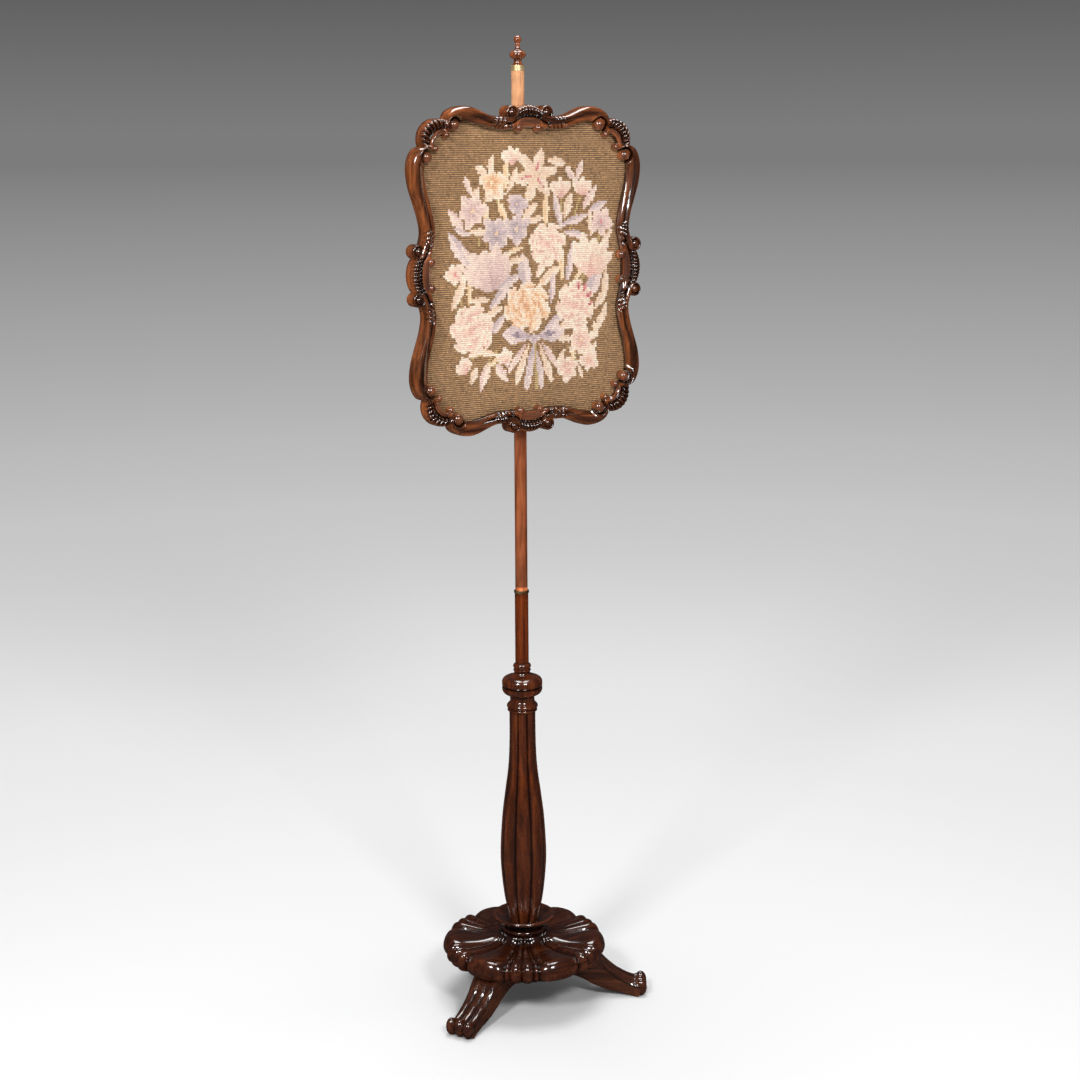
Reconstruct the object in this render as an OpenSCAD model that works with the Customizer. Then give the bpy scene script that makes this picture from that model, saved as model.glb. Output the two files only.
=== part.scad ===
// Pole screen: a carved frame with a needlework panel that slides and turns on a pole,
// on a turned and reeded column with a petal dish and three carved scroll legs.
// Millimetres, +Z up, the pole's axis on Z, the floor at Z = 0 and the panel facing -Y.

/* [Legs] */
// Height of the dish's underside above the floor
leg_h = 70; // [64:1:84]
// Distance from the pole's axis to the tip of a toe
toe_r = 207; // [195:1:230]
// Width of a leg
leg_w = 43; // [38:1:52]
// Thickness of a leg at its root under the dish
leg_t = 28; // [24:1:34]
// Height of a toe's curled top above the floor
toe_h = 33; // [30:1:40]
// Amount by which a toe is wider than the leg on each side
toe_flare = 3; // [0:0.5:5]
// Height of the dip behind the toe above the floor
instep_h = 24; // [21:1:28]
// Angle by which the legs are turned from the screen's own directions
leg_turn = -2; // [-30:0.5:30]
// Distance from the pole's axis to a leg's inner end
leg_root_r = 28; // [27:1:34]

/* [Dish and collar] */
// Radius of the petal dish at its rim
dish_r = 136.5; // [125:0.5:145]
// Height of the collar's seat above the dish's underside
dish_seat_h = 43; // [38:1:48]
// Height of the petals' crest above the dish's underside
petal_crest_h = 48; // [44:1:54]
// Height of the hollow round the collar above the dish's underside
dish_hollow_h = 31; // [28:1:35]
// Depth of the grooves between petals
petal_groove = 9.5; // [4:0.5:11]
// Angle that a wide petal covers
wide_petal = 34; // [24:1:38]
// Radius of the collar's flange
collar_r = 52; // [46:1:58]
// Radius of the collar's lower bead
bead_r = 37; // [34:1:42]
// Height of the column's seat in the collar above the collar's underside
collar_seat_h = 17; // [16:1:24]

/* [Column] */
// Height of the reeded column
column_h = 366; // [330:2:400]
// Radius of the column at its widest
column_r = 38; // [34:1:42]
// Radius of the column at its neck
neck_r = 21; // [19:0.5:24]
// Number of reeds round the column
reed_count = 8; // [6:1:10]
// Depth of the grooves between the reeds
reed_groove = 2.4; // [1:0.2:3]
// Radius of the tenon that holds the column in the dish
tenon_r = 14; // [11:0.5:16]

/* [Knop] */
// Radius of the turned disc
disc_r = 33; // [28:1:38]
// Height of the turned knop
knop_h = 81; // [76:1:90]
// Radius of the ring under the disc
ring_r = 25.5; // [24:0.5:28]

/* [Pole] */
// Radius of the upper pole
pole_r = 10; // [9:0.5:11]
// Length of the upper pole above its socket
pole_len = 818; // [740:1:860]
// Radius of the lower pole stub
stub_r = 11; // [10.5:0.5:12.5]
// Height of the lower pole stub above the knop
stub_h = 123; // [100:1:140]
// Radius of the stub's peg in the knop and the column
peg_r = 9; // [8:0.5:10]
// Depth of the stub's peg in the column
peg_deep = 56; // [40:1:70]
// Radius of the pole's spigot in its socket
spigot_r = 7; // [6:0.5:7.5]
// Length of the pole's spigot
spigot_len = 55; // [40:1:70]
// Height of the ferrule round the socket's mouth
ferrule_h = 5; // [3:0.5:8]
// Thickness of the ferrule's wall
ferrule_t = 0.8; // [0.6:0.1:1.2]
// Height of the brass collar at the pole's top
cap_h = 8; // [6:0.5:12]
// Amount by which the brass collar stands proud of the pole
cap_proud = 0.8; // [0.5:0.1:1.2]

/* [Finial] */
// Height of the finial
finial_h = 44; // [40:1:54]
// Radius of the finial's knob
finial_r = 12.6; // [11:0.2:15]
// Radius of the finial's peg
finial_peg_r = 4; // [3:0.5:4.5]
// Length of the finial's peg
finial_peg_len = 32; // [24:1:40]

/* [Screen frame] */
// Width of the carved frame across its lobes
screen_w = 407; // [380:1:440]
// Height of the carved frame across its lobes
screen_h = 500; // [470:2:530]
// Distance from the pole's top down to the middle of the screen
screen_drop = 303; // [285:1:330]
// Gap between the pole and the back of the frame
frame_gap = 3; // [2.8:0.1:6]
// Thickness of the moulding at its ridge
ridge_h = 27; // [24:0.5:32]
// Height of the moulding's outer wall
wall_h = 17; // [14:0.5:20]
// Thickness of the lip over the needlework
lip_t = 4; // [3:0.5:6]
// Width of the lip over the needlework
lip_w = 6; // [4:0.5:7]
// Width of the moulding at its lobes
lobe_w = 24; // [22:0.5:27]
// Width of the moulding at its waist
waist_w = 20; // [19:0.5:23]
// Depth of the waist in the top and bottom rails
rail_waist = 15; // [12:0.5:18]
// Depth of the waist in the side stiles
stile_waist = 21; // [16:0.5:24]
// Distance of a lobe's peak from the frame's corner
lobe_inset = 94; // [90:1:100]
// Distance of a corner shell's centre from the frame's edges
shell_inset = 49; // [46:1:52]
// Radius of a corner shell
shell_r = 30.5; // [28:0.5:33]
// Width of the carved band and scroll at the middle of a side
band_w = 34; // [31:0.5:37]
// Amount by which the carved band bulges past the lobes
band_bulge = 2; // [0:0.5:3]
// Distance of the drum scrolls from the middle of the top and bottom rails
rail_drum = 30.5; // [28:0.5:34]
// Distance of the drum scrolls from the middle of the side stiles
stile_drum = 36; // [32:0.5:40]
// Distance of the small scroll balls from the middle of the top and bottom rails
rail_ball_at = 17.5; // [15:0.5:20]
// Distance of the small scroll balls from the middle of the side stiles
stile_ball_at = 19.5; // [17:0.5:22]
// Radius of a drum scroll
drum_r = 11; // [9:0.5:12]
// Radius of the ball that a moulding curls round
volute_r = 8.5; // [7:0.5:9.5]
// Radius of the balls on the scrolls at the middle of a side
scroll_ball_r = 6; // [4.5:0.5:7]
// Radius of the balls on the corner scrolls
corner_ball_r = 5.2; // [4:0.2:6]

/* [Panel] */
// Thickness of the needlework
cloth_t = 1.2; // [0.8:0.2:2]
// Thickness of the board that the needlework is stretched on
board_t = 4.8; // [4:0.2:6]
// Thickness of the back panel
back_t = 2.4; // [2:0.2:4]
// Radius of the brads that hold the back panel
brad_r = 0.7; // [0.5:0.1:0.8]
// Length of a brad
brad_len = 11; // [8:0.5:12]

/* [Brackets] */
// Width of a bracket's plate
plate_w = 54; // [48:1:60]
// Height of a bracket's plate
plate_h = 14; // [12:0.5:16]
// Thickness of a bracket's plate
plate_t = 2; // [1.5:0.1:2.2]
// Thickness of the ring round the pole
ring_t = 2.4; // [2:0.1:2.7]
// Distance of a bracket below the frame's edge
plate_drop = 14; // [12:0.5:16]
// Radius of the clamp screw
clamp_r = 2; // [1.5:0.1:2.5]
// Radius of the clamp screw's milled head
clamp_head_r = 8; // [6:0.5:10]
// Length of the boss that the clamp screw turns in
boss_len = 8; // [6:0.5:12]

/* [Fasteners] */
// Radius of the wood screws' shanks
screw_r = 2; // [1.5:0.1:2.4]
// Length of a bracket screw
screw_len = 12; // [9:0.5:13]
// Radius of the leg screws' shanks
leg_screw_r = 2.5; // [2:0.1:3]
// Length of a leg screw
leg_screw_len = 42; // [38:1:46]
// Radius of the dowels in the legs and the frame's mitres
dowel_r = 3; // [2:0.25:3.5]
// Length of a dowel
dowel_len = 24; // [18:1:28]

/* [Fits] */
// Radial clearance of a turning or sliding fit
running_fit = 0.06; // [0.02:0.01:0.1]
// Clearance of a glued or screwed joint
glue_fit = 0.05; // [0.02:0.01:0.1]
// Clearance of the panel in the frame's rebate
panel_fit = 0.4; // [0.2:0.1:0.6]
// Gap between the clamp screw's tip and the pole
clamp_gap = 0.3; // [0.2:0.1:0.5]

/* [Hidden] */
$fn = 64;

// Heights, stacked from the floor
collar_z = leg_h + dish_seat_h;
column_z = collar_z + collar_seat_h;
knop_z = column_z + column_h;
stub_z = knop_z + knop_h;
pole_z = stub_z + stub_h;
cap_z = pole_z + pole_len;
finial_z = cap_z + cap_h;
screen_z = cap_z - screen_drop;

// Depths in the frame, measured forwards from the frame's back
frame_back = pole_r + frame_gap;
brad_room = 2 * brad_r;
rebate_d = brad_room + back_t + board_t + cloth_t;
lip_h = rebate_d + lip_t;
ball_base_h = rebate_d + panel_fit;

// Half sizes of the frame and of its two kinds of side
rail_edge = screen_h / 2;
stile_edge = screen_w / 2;
rail_lobe = stile_edge - lobe_inset;
stile_lobe = rail_edge - lobe_inset;
bracket_up = rail_edge - plate_drop;

// Angles of the legs from -Y towards +X
leg_angles = [for (angle = [-60, 60, 180]) angle + leg_turn];

// Sweep helpers

function mix(a, b, t) = a + (b - a) * t;
function ease(t) = (1 - cos(180 * max(0, min(1, t)))) / 2;
function polar(r, angle) = [r * cos(angle), r * sin(angle)];

// One smooth value between q and r at t, through the neighbours p and s
function smooth(p, q, r, s, t) =
  (2 * q + (r - p) * t + (2 * p - 5 * q + 4 * r - s) * t * t + (3 * q - p - 3 * r + s) * t * t * t) / 2;

// A list of keys made finer: a curve through every key, with count steps between keys
function refine(keys, count) =
  let (last = len(keys) - 1)
  [
    for (i = [0 : last - 1], j = [0 : count - 1])
      smooth(keys[max(i - 1, 0)], keys[i], keys[i + 1], keys[min(i + 2, last)], j / count),
    keys[last]
  ];

// Triangles between rings of n points each, with the rings running counter-clockwise along the sweep
function wall_faces(ring_count, n, flip) = [
  for (i = [0 : ring_count - 2], j = [0 : n - 1])
    let (a = i * n + j, b = i * n + (j + 1) % n, c = (i + 1) * n + (j + 1) % n, d = (i + 1) * n + j)
    each flip ? [[a, b, c], [a, c, d]] : [[a, c, b], [a, d, c]]
];

// A solid through the rings, with cap listing the triangles that close a ring
module skin(rings, cap, flip = false) {
  n = len(rings[0]);
  last = (len(rings) - 1) * n;
  first_cap = [for (t = cap) flip ? [t[2], t[1], t[0]] : t];
  last_cap = [for (t = cap) [for (k = flip ? [0, 1, 2] : [2, 1, 0]) last + t[k]]];
  polyhedron(
    points = [for (ring = rings) each ring],
    faces = concat(wall_faces(len(rings), n, flip), first_cap, last_cap)
  );
}

// A solid through rings that go round Z, from the top down, closed by a fan at each end
module turned_skin(rings) {
  n = len(rings[0]);
  count = len(rings);
  top = count * n;
  base = (count - 1) * n;
  fans = [for (j = [0 : n - 1]) each [[top, (j + 1) % n, j], [top + 1, base + j, base + (j + 1) % n]]];
  polyhedron(
    points = concat(
      [for (ring = rings) each ring],
      [[0, 0, rings[0][0][2]], [0, 0, rings[count - 1][0][2]]]
    ),
    faces = concat(wall_faces(count, n, true), fans)
  );
}

// Legs

dish_flat_in = 21;
slope_r = dish_r - dish_flat_in;
toe_edge_drop = 5;
reed_drop = 1.5;
reed_valley = 3.5;
toe_carve = 0.5;
heel_h = 22;
sole_in = 2;

// Places along a leg past the dish: share of the way to the toe, share of the drop left,
// share of the toe's rise, and the underside's share of the heel's height
leg_keys = [
  [0, 1, 0, 1], [0.09, 0.93, 0, 0.84], [0.18, 0.78, 0, 0.68], [0.26, 0.62, 0, 0.56], [0.34, 0.48, 0, 0.47],
  [0.43, 0.33, 0, 0.4], [0.53, 0.21, 0, 0.31], [0.62, 0.11, 0, 0.18], [0.71, 0.04, 0, 0.07], [0.78, 0, 0, 0],
  [0.84, 0, 0.55, 0], [0.89, 0, 1, 0], [0.955, 0, 0.85, 0.1], [1, 0, 0.1, 0.5]
];
// Places along a leg under the dish: share of the way from the root, share of the underside's fall
root_keys = [[0, 0], [0.4, 0.05], [0.65, 0.25], [0.85, 0.62]];
// The top of a leg across its width: place across, depth of the carving there
reed_keys = [
  [1, toe_edge_drop], [0.86, reed_drop], [0.67, 0], [0.46, reed_drop], [0.33, reed_valley], [0.2, reed_drop],
  [0, 0], [-0.2, reed_drop], [-0.33, reed_valley], [-0.46, reed_drop], [-0.67, 0], [-0.86, reed_drop],
  [-1, toe_edge_drop]
];

function leg_ring(r, top, bottom, carve, flare) =
  let (half = leg_w / 2 + flare)
  [
    for (k = reed_keys) [r, k[0] * half, top - k[1] * carve],
    [r, -half, bottom + sole_in * carve],
    [r, -half + sole_in, bottom],
    [r, 0, bottom],
    [r, half - sole_in, bottom],
    [r, half, bottom + sole_in * carve]
  ];

function leg_rings() = [
  for (k = root_keys)
    leg_ring(mix(leg_root_r, slope_r, k[0]), leg_h, mix(leg_h - leg_t, heel_h, k[1]), 0.02, 0),
  for (k = leg_keys)
    leg_ring(
      mix(slope_r, toe_r, k[0]),
      instep_h + (leg_h - instep_h) * k[1] + (toe_h - instep_h) * k[2],
      heel_h * k[3],
      mix(0.02, 1, ease((k[0] - 0.05) * 4)) + ease((k[0] - 0.6) * 3) * toe_carve,
      toe_flare * ease((k[0] - 0.72) * 8)
    )
];

leg_top_n = len(reed_keys);
leg_ring_n = leg_top_n + 5;
leg_middle = leg_top_n + 2;
leg_cap = [
  for (j = [0 : leg_ring_n - 1])
    let (next = (j + 1) % leg_ring_n)
    if (j != leg_middle && next != leg_middle) [leg_middle, j, next]
];

leg_dowel_at = mix(leg_root_r, slope_r, 0.36);
leg_screw_at = [mix(leg_root_r, slope_r, 0.16), mix(leg_root_r, slope_r, 0.56)];
leg_screw_top = leg_h + dish_hollow_h * 0.65;
leg_screw_head_r = 2 * leg_screw_r;
leg_screw_head_h = 3;

module leg_screw_shape(gap) {
  bottom = leg_screw_top - leg_screw_len;
  translate([0, 0, bottom])
    cylinder(r = leg_screw_r + gap, h = leg_screw_len + gap);
  translate([0, 0, bottom - leg_screw_head_h])
    cylinder(r = leg_screw_head_r + gap, h = leg_screw_head_h + gap);
}

module leg_dowel_shape(gap) {
  translate([leg_dowel_at, 0, leg_h - dowel_len / 2 - gap])
    cylinder(r = dowel_r + gap, h = dowel_len + 2 * gap);
}

// Turns its children from +X to a leg's own direction
module at_leg(angle) {
  rotate([0, 0, angle - 90])
    children();
}

module leg(angle) {
  color("saddlebrown")
    at_leg(angle)
      difference() {
        skin(leg_rings(), leg_cap);
        leg_dowel_shape(glue_fit);
        for (at = leg_screw_at)
          translate([at, 0, 0]) {
            leg_screw_shape(glue_fit);
            cylinder(r = leg_screw_head_r + glue_fit, h = leg_screw_top - leg_screw_len);
          }
      }
}

module leg_front_left() leg(leg_angles[0]);
module leg_front_right() leg(leg_angles[1]);
module leg_back() leg(leg_angles[2]);

module leg_screws() {
  color("darkgoldenrod")
    for (angle = leg_angles, at = leg_screw_at)
      at_leg(angle)
        translate([at, 0, 0])
          leg_screw_shape(0);
}

module leg_dowels() {
  color("burlywood")
    for (angle = leg_angles)
      at_leg(angle)
        leg_dowel_shape(0);
}

// Dish with wide petals in line with the legs and between them, and narrow reeds between the petals

petal_step = 60;
narrow_counts = [3, 3, 3, 3, 3, 4];
narrow_fill = 0.8;
seat_r = bead_r + 2;

// Angles round one petal step, each with the share of the petal's height there
function petal_keys(step) =
  let (narrow = (petal_step - wide_petal) / narrow_counts[step])
  [
    for (k = [[0, 0], [0.06, 0.4], [0.16, 0.7], [0.32, 0.93], [0.5, 1], [0.68, 0.93], [0.84, 0.7], [0.94, 0.4]])
      [(k[0] - 0.5) * wide_petal, k[1]],
    for (i = [0 : narrow_counts[step] - 1], k = [[0, 0.3], [0.28, narrow_fill], [0.72, narrow_fill]])
      [wide_petal / 2 + (i + k[0]) * narrow, i == 0 && k[0] == 0 ? 0 : k[1]]
  ];

// The dish's section from its seat over the rim to the underside: radius, height, share of the groove's depth
dish_keys = [
  [seat_r, dish_seat_h, 0],
  [seat_r + 3, dish_seat_h - 1, 0.1],
  [seat_r + 9, mix(dish_hollow_h, dish_seat_h, 0.35), 0.3],
  [mix(seat_r, dish_r, 0.21), dish_hollow_h + 0.5, 0.5],
  [mix(seat_r, dish_r, 0.38), dish_hollow_h, 0.65],
  [mix(seat_r, dish_r, 0.58), mix(dish_hollow_h, petal_crest_h, 0.35), 0.8],
  [mix(seat_r, dish_r, 0.74), mix(dish_hollow_h, petal_crest_h, 0.82), 0.92],
  [mix(seat_r, dish_r, 0.84), petal_crest_h, 1],
  [mix(seat_r, dish_r, 0.93), petal_crest_h * 0.92, 1],
  [mix(seat_r, dish_r, 0.985), petal_crest_h * 0.75, 1],
  [dish_r, petal_crest_h * 0.57, 1],
  [dish_r - 0.8, petal_crest_h * 0.38, 0.95],
  [dish_r - 2.6, petal_crest_h * 0.18, 0.9],
  [dish_r - 6, petal_crest_h * 0.04, 0.7],
  [dish_r - dish_flat_in, 0, 0]
];

module base_dish() {
  rings = [
    for (k = dish_keys)
      [
        for (step = [0 : 5], p = petal_keys(step))
          let (sink = petal_groove * k[2] * (1 - p[1]), at = polar(k[0] - sink, p[0] + step * petal_step + leg_turn - 90))
          [at[0], at[1], leg_h + k[1] - sink * 0.8 * ease(k[1] / petal_crest_h * 2.5 - 1)]
      ]
  ];
  color("brown")
    difference() {
      turned_skin(rings);
      translate([0, 0, leg_h - 1])
        cylinder(r = tenon_r + glue_fit, h = dish_seat_h + 2);
      for (angle = leg_angles)
        at_leg(angle) {
          leg_dowel_shape(glue_fit);
          for (at = leg_screw_at)
            translate([at, 0, 0])
              leg_screw_shape(glue_fit);
        }
    }
}

// Collar between the dish and the column

module base_collar() {
  bead_h = 7.5;
  rim_h = collar_seat_h + 11;
  waist_r = bead_r - 8;
  bead = [for (a = [-80 : 20 : 80]) [bead_r - 4 + 4 * cos(a), bead_h / 2 + bead_h / 2 * sin(a)]];
  rim = [for (a = [-60 : 30 : 90]) [collar_r - 4 + 4 * cos(a), rim_h - 4 + 4 * sin(a)]];
  profile = concat(
    [[tenon_r + glue_fit, 0], [bead_r - 5, 0]],
    bead,
    [
      [waist_r + 1, bead_h + 1],
      [waist_r, bead_h + 2.5],
      [waist_r + 1, mix(bead_h, collar_seat_h, 0.6)],
      [mix(waist_r, collar_r, 0.2), collar_seat_h - 1.5],
      [collar_r - 10, collar_seat_h + 3]
    ],
    rim,
    [[mix(neck_r, collar_r, 0.5), collar_seat_h + 5], [neck_r + 6, collar_seat_h], [tenon_r + glue_fit, collar_seat_h]]
  );
  color("sienna")
    translate([0, 0, collar_z])
      rotate_extrude()
        polygon(profile);
}

// Reeded column: share of the height from the foot, and share of the swell from neck to widest

column_keys = [
  [1, 0.02], [0.86, 0.04], [0.74, 0.17], [0.62, 0.5], [0.5, 0.81], [0.35, 1], [0.25, 0.95], [0.125, 0.67],
  [0.03, 0.27], [0, 0.1]
];
// One reed: share of its width, share of the groove's depth filled there
reed_share = [[0, 0], [0.12, 0.75], [0.5, 1], [0.88, 0.75]];
wedge_t = 3;
wedge_h = 22;

module wedge_shape(gap) {
  translate([-wedge_t / 2 - gap, -tenon_r - 1, leg_h])
    cube([wedge_t + 2 * gap, 2 * tenon_r + 2, wedge_h + gap]);
}

module column() {
  reed_step = 360 / reed_count;
  camera_side = -120;
  rings = [
    for (k = refine(column_keys, 2))
      [
        for (i = [0 : reed_count - 1], q = reed_share)
          let (
            r = mix(neck_r, column_r, k[1]) - reed_groove * (1 - q[1]),
            at = polar(r, camera_side + (i - 0.5 + q[0]) * reed_step)
          )
          [at[0], at[1], column_z + column_h * k[0]]
      ]
  ];
  color("maroon")
    difference() {
      union() {
        turned_skin(rings);
        translate([0, 0, leg_h])
          cylinder(r = tenon_r, h = column_z - leg_h + 10);
      }
      translate([0, 0, knop_z - peg_deep - 2])
        cylinder(r = peg_r + glue_fit, h = peg_deep + 3);
      wedge_shape(glue_fit);
    }
}

module tenon_wedge() {
  color("burlywood")
    intersection() {
      wedge_shape(0);
      translate([0, 0, leg_h - 1])
        cylinder(r = tenon_r, h = wedge_h + 2);
    }
}

// Knop with its ring, its grooved disc and its neck ring

module knop() {
  foot_h = 5.2;
  ring_h = 17;
  disc_z = 28.5;
  groove_z = 42.5;
  groove = 1.5;
  neck_ring_h = 14.5;
  shoulder_z = knop_h - neck_ring_h;
  neck_ring_r = stub_r + 3.7;
  foot = [for (a = [-80 : 20 : 80]) [ring_r - 4 + 3 * cos(a), foot_h / 2 + foot_h / 2 * sin(a)]];
  under = [for (a = [0 : 15 : 90]) [disc_r - 10 + 10 * sin(a), groove_z - groove - 2 - (groove_z - groove - 2 - disc_z) * cos(a)]];
  dome = [for (k = [[0, 0.3], [0.03, 0.4], [0.12, 0.53], [0.31, 0.66], [0.55, 0.76], [0.77, 0.85], [0.92, 0.92], [1, 1]])
    [mix(disc_r, neck_ring_r - 2, k[0]), mix(groove_z + groove, shoulder_z, k[1])]];
  neck_ring = [for (a = [-75 : 25 : 75]) [neck_ring_r - 3.7 + 3.7 * cos(a), knop_h - 4.4 + 4.1 * sin(a)]];
  profile = concat(
    [[peg_r + glue_fit, 0], [ring_r - 4.5, 0]],
    foot,
    [
      [ring_r - 2.2, foot_h + 0.4],
      [ring_r - 0.3, ring_h * 0.46],
      [ring_r, ring_h * 0.56],
      [ring_r - 0.8, ring_h * 0.68],
      [ring_r - 3.2, ring_h * 0.84],
      [ring_r - 5.2, ring_h],
      [ring_r - 5.5, ring_h + 2],
      [ring_r - 5.5, disc_z]
    ],
    under,
    [
      [disc_r, groove_z - groove],
      [disc_r - groove, groove_z - groove / 2],
      [disc_r - groove, groove_z + groove / 2],
      [disc_r, groove_z + groove]
    ],
    dome,
    [[neck_ring_r - 0.4, shoulder_z + 3], [neck_ring_r - 0.6, shoulder_z + 4], [neck_ring_r - 2.2, shoulder_z + 5.2]],
    neck_ring,
    [[neck_ring_r - 3, knop_h], [peg_r + glue_fit, knop_h]]
  );
  color("maroon")
    translate([0, 0, knop_z])
      rotate_extrude()
        polygon(profile);
}

// Lower pole with its peg below and its socket above

socket_r = spigot_r + running_fit;

module pole_stub() {
  color("saddlebrown")
    difference() {
      union() {
        translate([0, 0, stub_z])
          cylinder(r = stub_r, h = stub_h);
        translate([0, 0, knop_z - peg_deep])
          cylinder(r = peg_r, h = peg_deep + knop_h + 1);
      }
      translate([0, 0, pole_z - spigot_len - 2])
        cylinder(r = socket_r, h = spigot_len + 3);
    }
}

module pole_ferrule() {
  color("goldenrod")
    translate([0, 0, pole_z - ferrule_h])
      difference() {
        cylinder(r = stub_r + ferrule_t, h = ferrule_h);
        translate([0, 0, -1])
          cylinder(r = stub_r, h = ferrule_h + 2);
      }
}

// Upper pole, brass cap and finial

cap_bore = pole_r - 3;
finial_hole_len = finial_peg_len + 4;

module pole() {
  color("peru")
    difference() {
      union() {
        translate([0, 0, pole_z])
          cylinder(r = pole_r, h = pole_len);
        translate([0, 0, pole_z - spigot_len])
          cylinder(r = spigot_r, h = spigot_len + 1);
        translate([0, 0, cap_z - 1])
          cylinder(r = cap_bore, h = cap_h + 1);
      }
      translate([0, 0, finial_z - finial_hole_len])
        cylinder(r = finial_peg_r + running_fit, h = finial_hole_len + 1);
    }
}

module pole_cap() {
  color("gold")
    translate([0, 0, cap_z])
      difference() {
        cylinder(r = pole_r + cap_proud, h = cap_h);
        translate([0, 0, -1])
          cylinder(r = cap_bore, h = cap_h + 2);
      }
}

module finial() {
  ball_r = finial_r * 0.46;
  ball_z = finial_h - ball_r;
  knob_z = finial_h * 0.36;
  knob_h = finial_h * 0.17;
  foot_r = pole_r - 3.6;
  knob = [for (a = [-65 : 13 : 65]) [finial_r * cos(a), knob_z + knob_h * sin(a)]];
  ball = [for (a = [-60 : 15 : 90]) [ball_r * cos(a), ball_z + ball_r * sin(a)]];
  profile = concat(
    [[0, -finial_peg_len], [finial_peg_r, -finial_peg_len], [finial_peg_r, 0], [foot_r + 2, 0], [foot_r + 1.8, 1]],
    [[foot_r, finial_h * 0.08], [foot_r * 0.94, finial_h * 0.14]],
    knob,
    [[ball_r * 0.56, knob_z + knob_h + 3], [ball_r * 0.48, ball_z - ball_r]],
    ball
  );
  color("sienna")
    translate([0, 0, finial_z])
      rotate_extrude()
        polygon(profile);
}

// Carved frame: each side is a list of stations from its middle to the mitre at its corner.
// A station holds its outer point, its inner point and its share of carved band.
// Points are [along the side, out from the middle of the screen].

shell_from_lobe = lobe_inset - shell_inset;
notch_angle = 110;
drum_out = 10;
scroll_r = 18;
scroll_angle = 153;
mitre_reach = 2;
scroll_pull = 7;
waist_from_drum = 25;

// The S-curved part of a side from its middle to the notch beside the corner shell
function moulding_keys(edge, lobe, drum, waist) =
  let (
    waist_at = drum + waist_from_drum,
    notch = polar(shell_r, notch_angle) + [shell_from_lobe, -shell_inset],
    scroll = polar(scroll_r, scroll_angle) + [shell_from_lobe, -shell_inset]
  )
  [
    for (t = [0, 0.3, 0.6, 1])
      let (out = edge + band_bulge - 15.5 * t * t, inner = edge + band_bulge - band_w - 4 * t * t)
      [drum * t, out, drum * t, inner, 1 - ease((t - 0.5) * 2)],
    for (t = [0, 0.25, 0.5, 0.75, 1])
      let (along = mix(waist_at, lobe, t), out = edge - waist * (1 - ease(t)))
      [along, out, along, out - mix(waist_w, lobe_w, ease(t)), 0],
    for (a = [30, 60, 90])
      [
        lobe + notch[0] * sin(a), edge + notch[1] * (1 - cos(a)),
        lobe + scroll[0] * sin(a), edge - lobe_w + (scroll[1] + lobe_w) * (1 - cos(a)), 0
      ]
  ];

// The corner shell from the notch to the mitre
function shell_keys(edge, lobe) =
  let (
    middle = [lobe + shell_from_lobe, edge - shell_inset],
    start = middle + polar(scroll_r, scroll_angle),
    end = middle + [mitre_reach, mitre_reach],
    pull = end + [-scroll_pull, scroll_pull]
  )
  [
    for (t = [0, 0.3, 0.65, 1])
      let (
        out = middle + polar(shell_r, mix(notch_angle, 45, t)),
        inner = start * (1 - t) * (1 - t) + pull * 2 * t * (1 - t) + end * t * t
      )
      [out[0], out[1], inner[0], inner[1], ease(t * 3)]
  ];

function half_side(edge, lobe, drum, waist) =
  let (
    first = refine(moulding_keys(edge, lobe, drum, waist), 2),
    rest = refine(shell_keys(edge, lobe), 2)
  )
  concat(first, [for (i = [1 : len(rest) - 1]) rest[i]]);

function rail_half() = half_side(rail_edge, rail_lobe, rail_drum, rail_waist);
function stile_half() = half_side(stile_edge, stile_lobe, stile_drum, stile_waist);

// A whole side from mitre to mitre
function whole_side(half) = concat(
  [for (i = [len(half) - 1 : -1 : 1]) [-half[i][0], half[i][1], -half[i][2], half[i][3], half[i][4]]],
  half
);

// The section at a station: share of the way in, height, on a plain moulding and on a carved band
plain_keys = [[0, wall_h], [0.06, mix(wall_h, ridge_h, 0.65)], [0.3, ridge_h], [0.52, mix(wall_h, ridge_h, 0.6)],
  [0.64, wall_h + 2], [0.8, wall_h + 0.5], [1, lip_h]];
band_keys = [[0, wall_h], [0.06, mix(wall_h, ridge_h, 0.6)], [0.25, ridge_h - 1], [0.45, mix(wall_h, ridge_h, 0.5)],
  [0.53, wall_h + 1], [0.7, wall_h + 4.5], [1, lip_h + 1]];

// The ring of points round the moulding at a station: [along, out, height]
function side_ring(st) =
  let (
    outer = [st[0], st[1]],
    inner = [st[2], st[3]],
    rebate = outer + (inner - outer) * (1 - lip_w / norm(inner - outer))
  )
  [
    for (i = [0 : len(plain_keys) - 1])
      let (k = mix(plain_keys[i], band_keys[i], st[4]), at = mix(outer, inner, k[0]))
      [at[0], at[1], k[1]],
    [inner[0], inner[1], rebate_d],
    [rebate[0], rebate[1], rebate_d],
    [rebate[0], rebate[1], 0],
    [outer[0], outer[1], 0]
  ];

side_cap = [
  [10, 0, 1], [10, 1, 2], [10, 2, 3], [10, 3, 4], [10, 4, 9], [9, 4, 8], [8, 4, 5], [8, 5, 6], [8, 6, 7]
];

// A scroll's domed end, standing forwards from the height base to the height top
module boss(r, base, top) {
  crown = min(r, top - base - 0.5);
  profile = concat(
    [[0, base], [r, base]],
    [for (a = [0 : 15 : 90]) [r * cos(a), top - crown + crown * sin(a)]]
  );
  rotate_extrude()
    polygon(profile);
}

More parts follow.
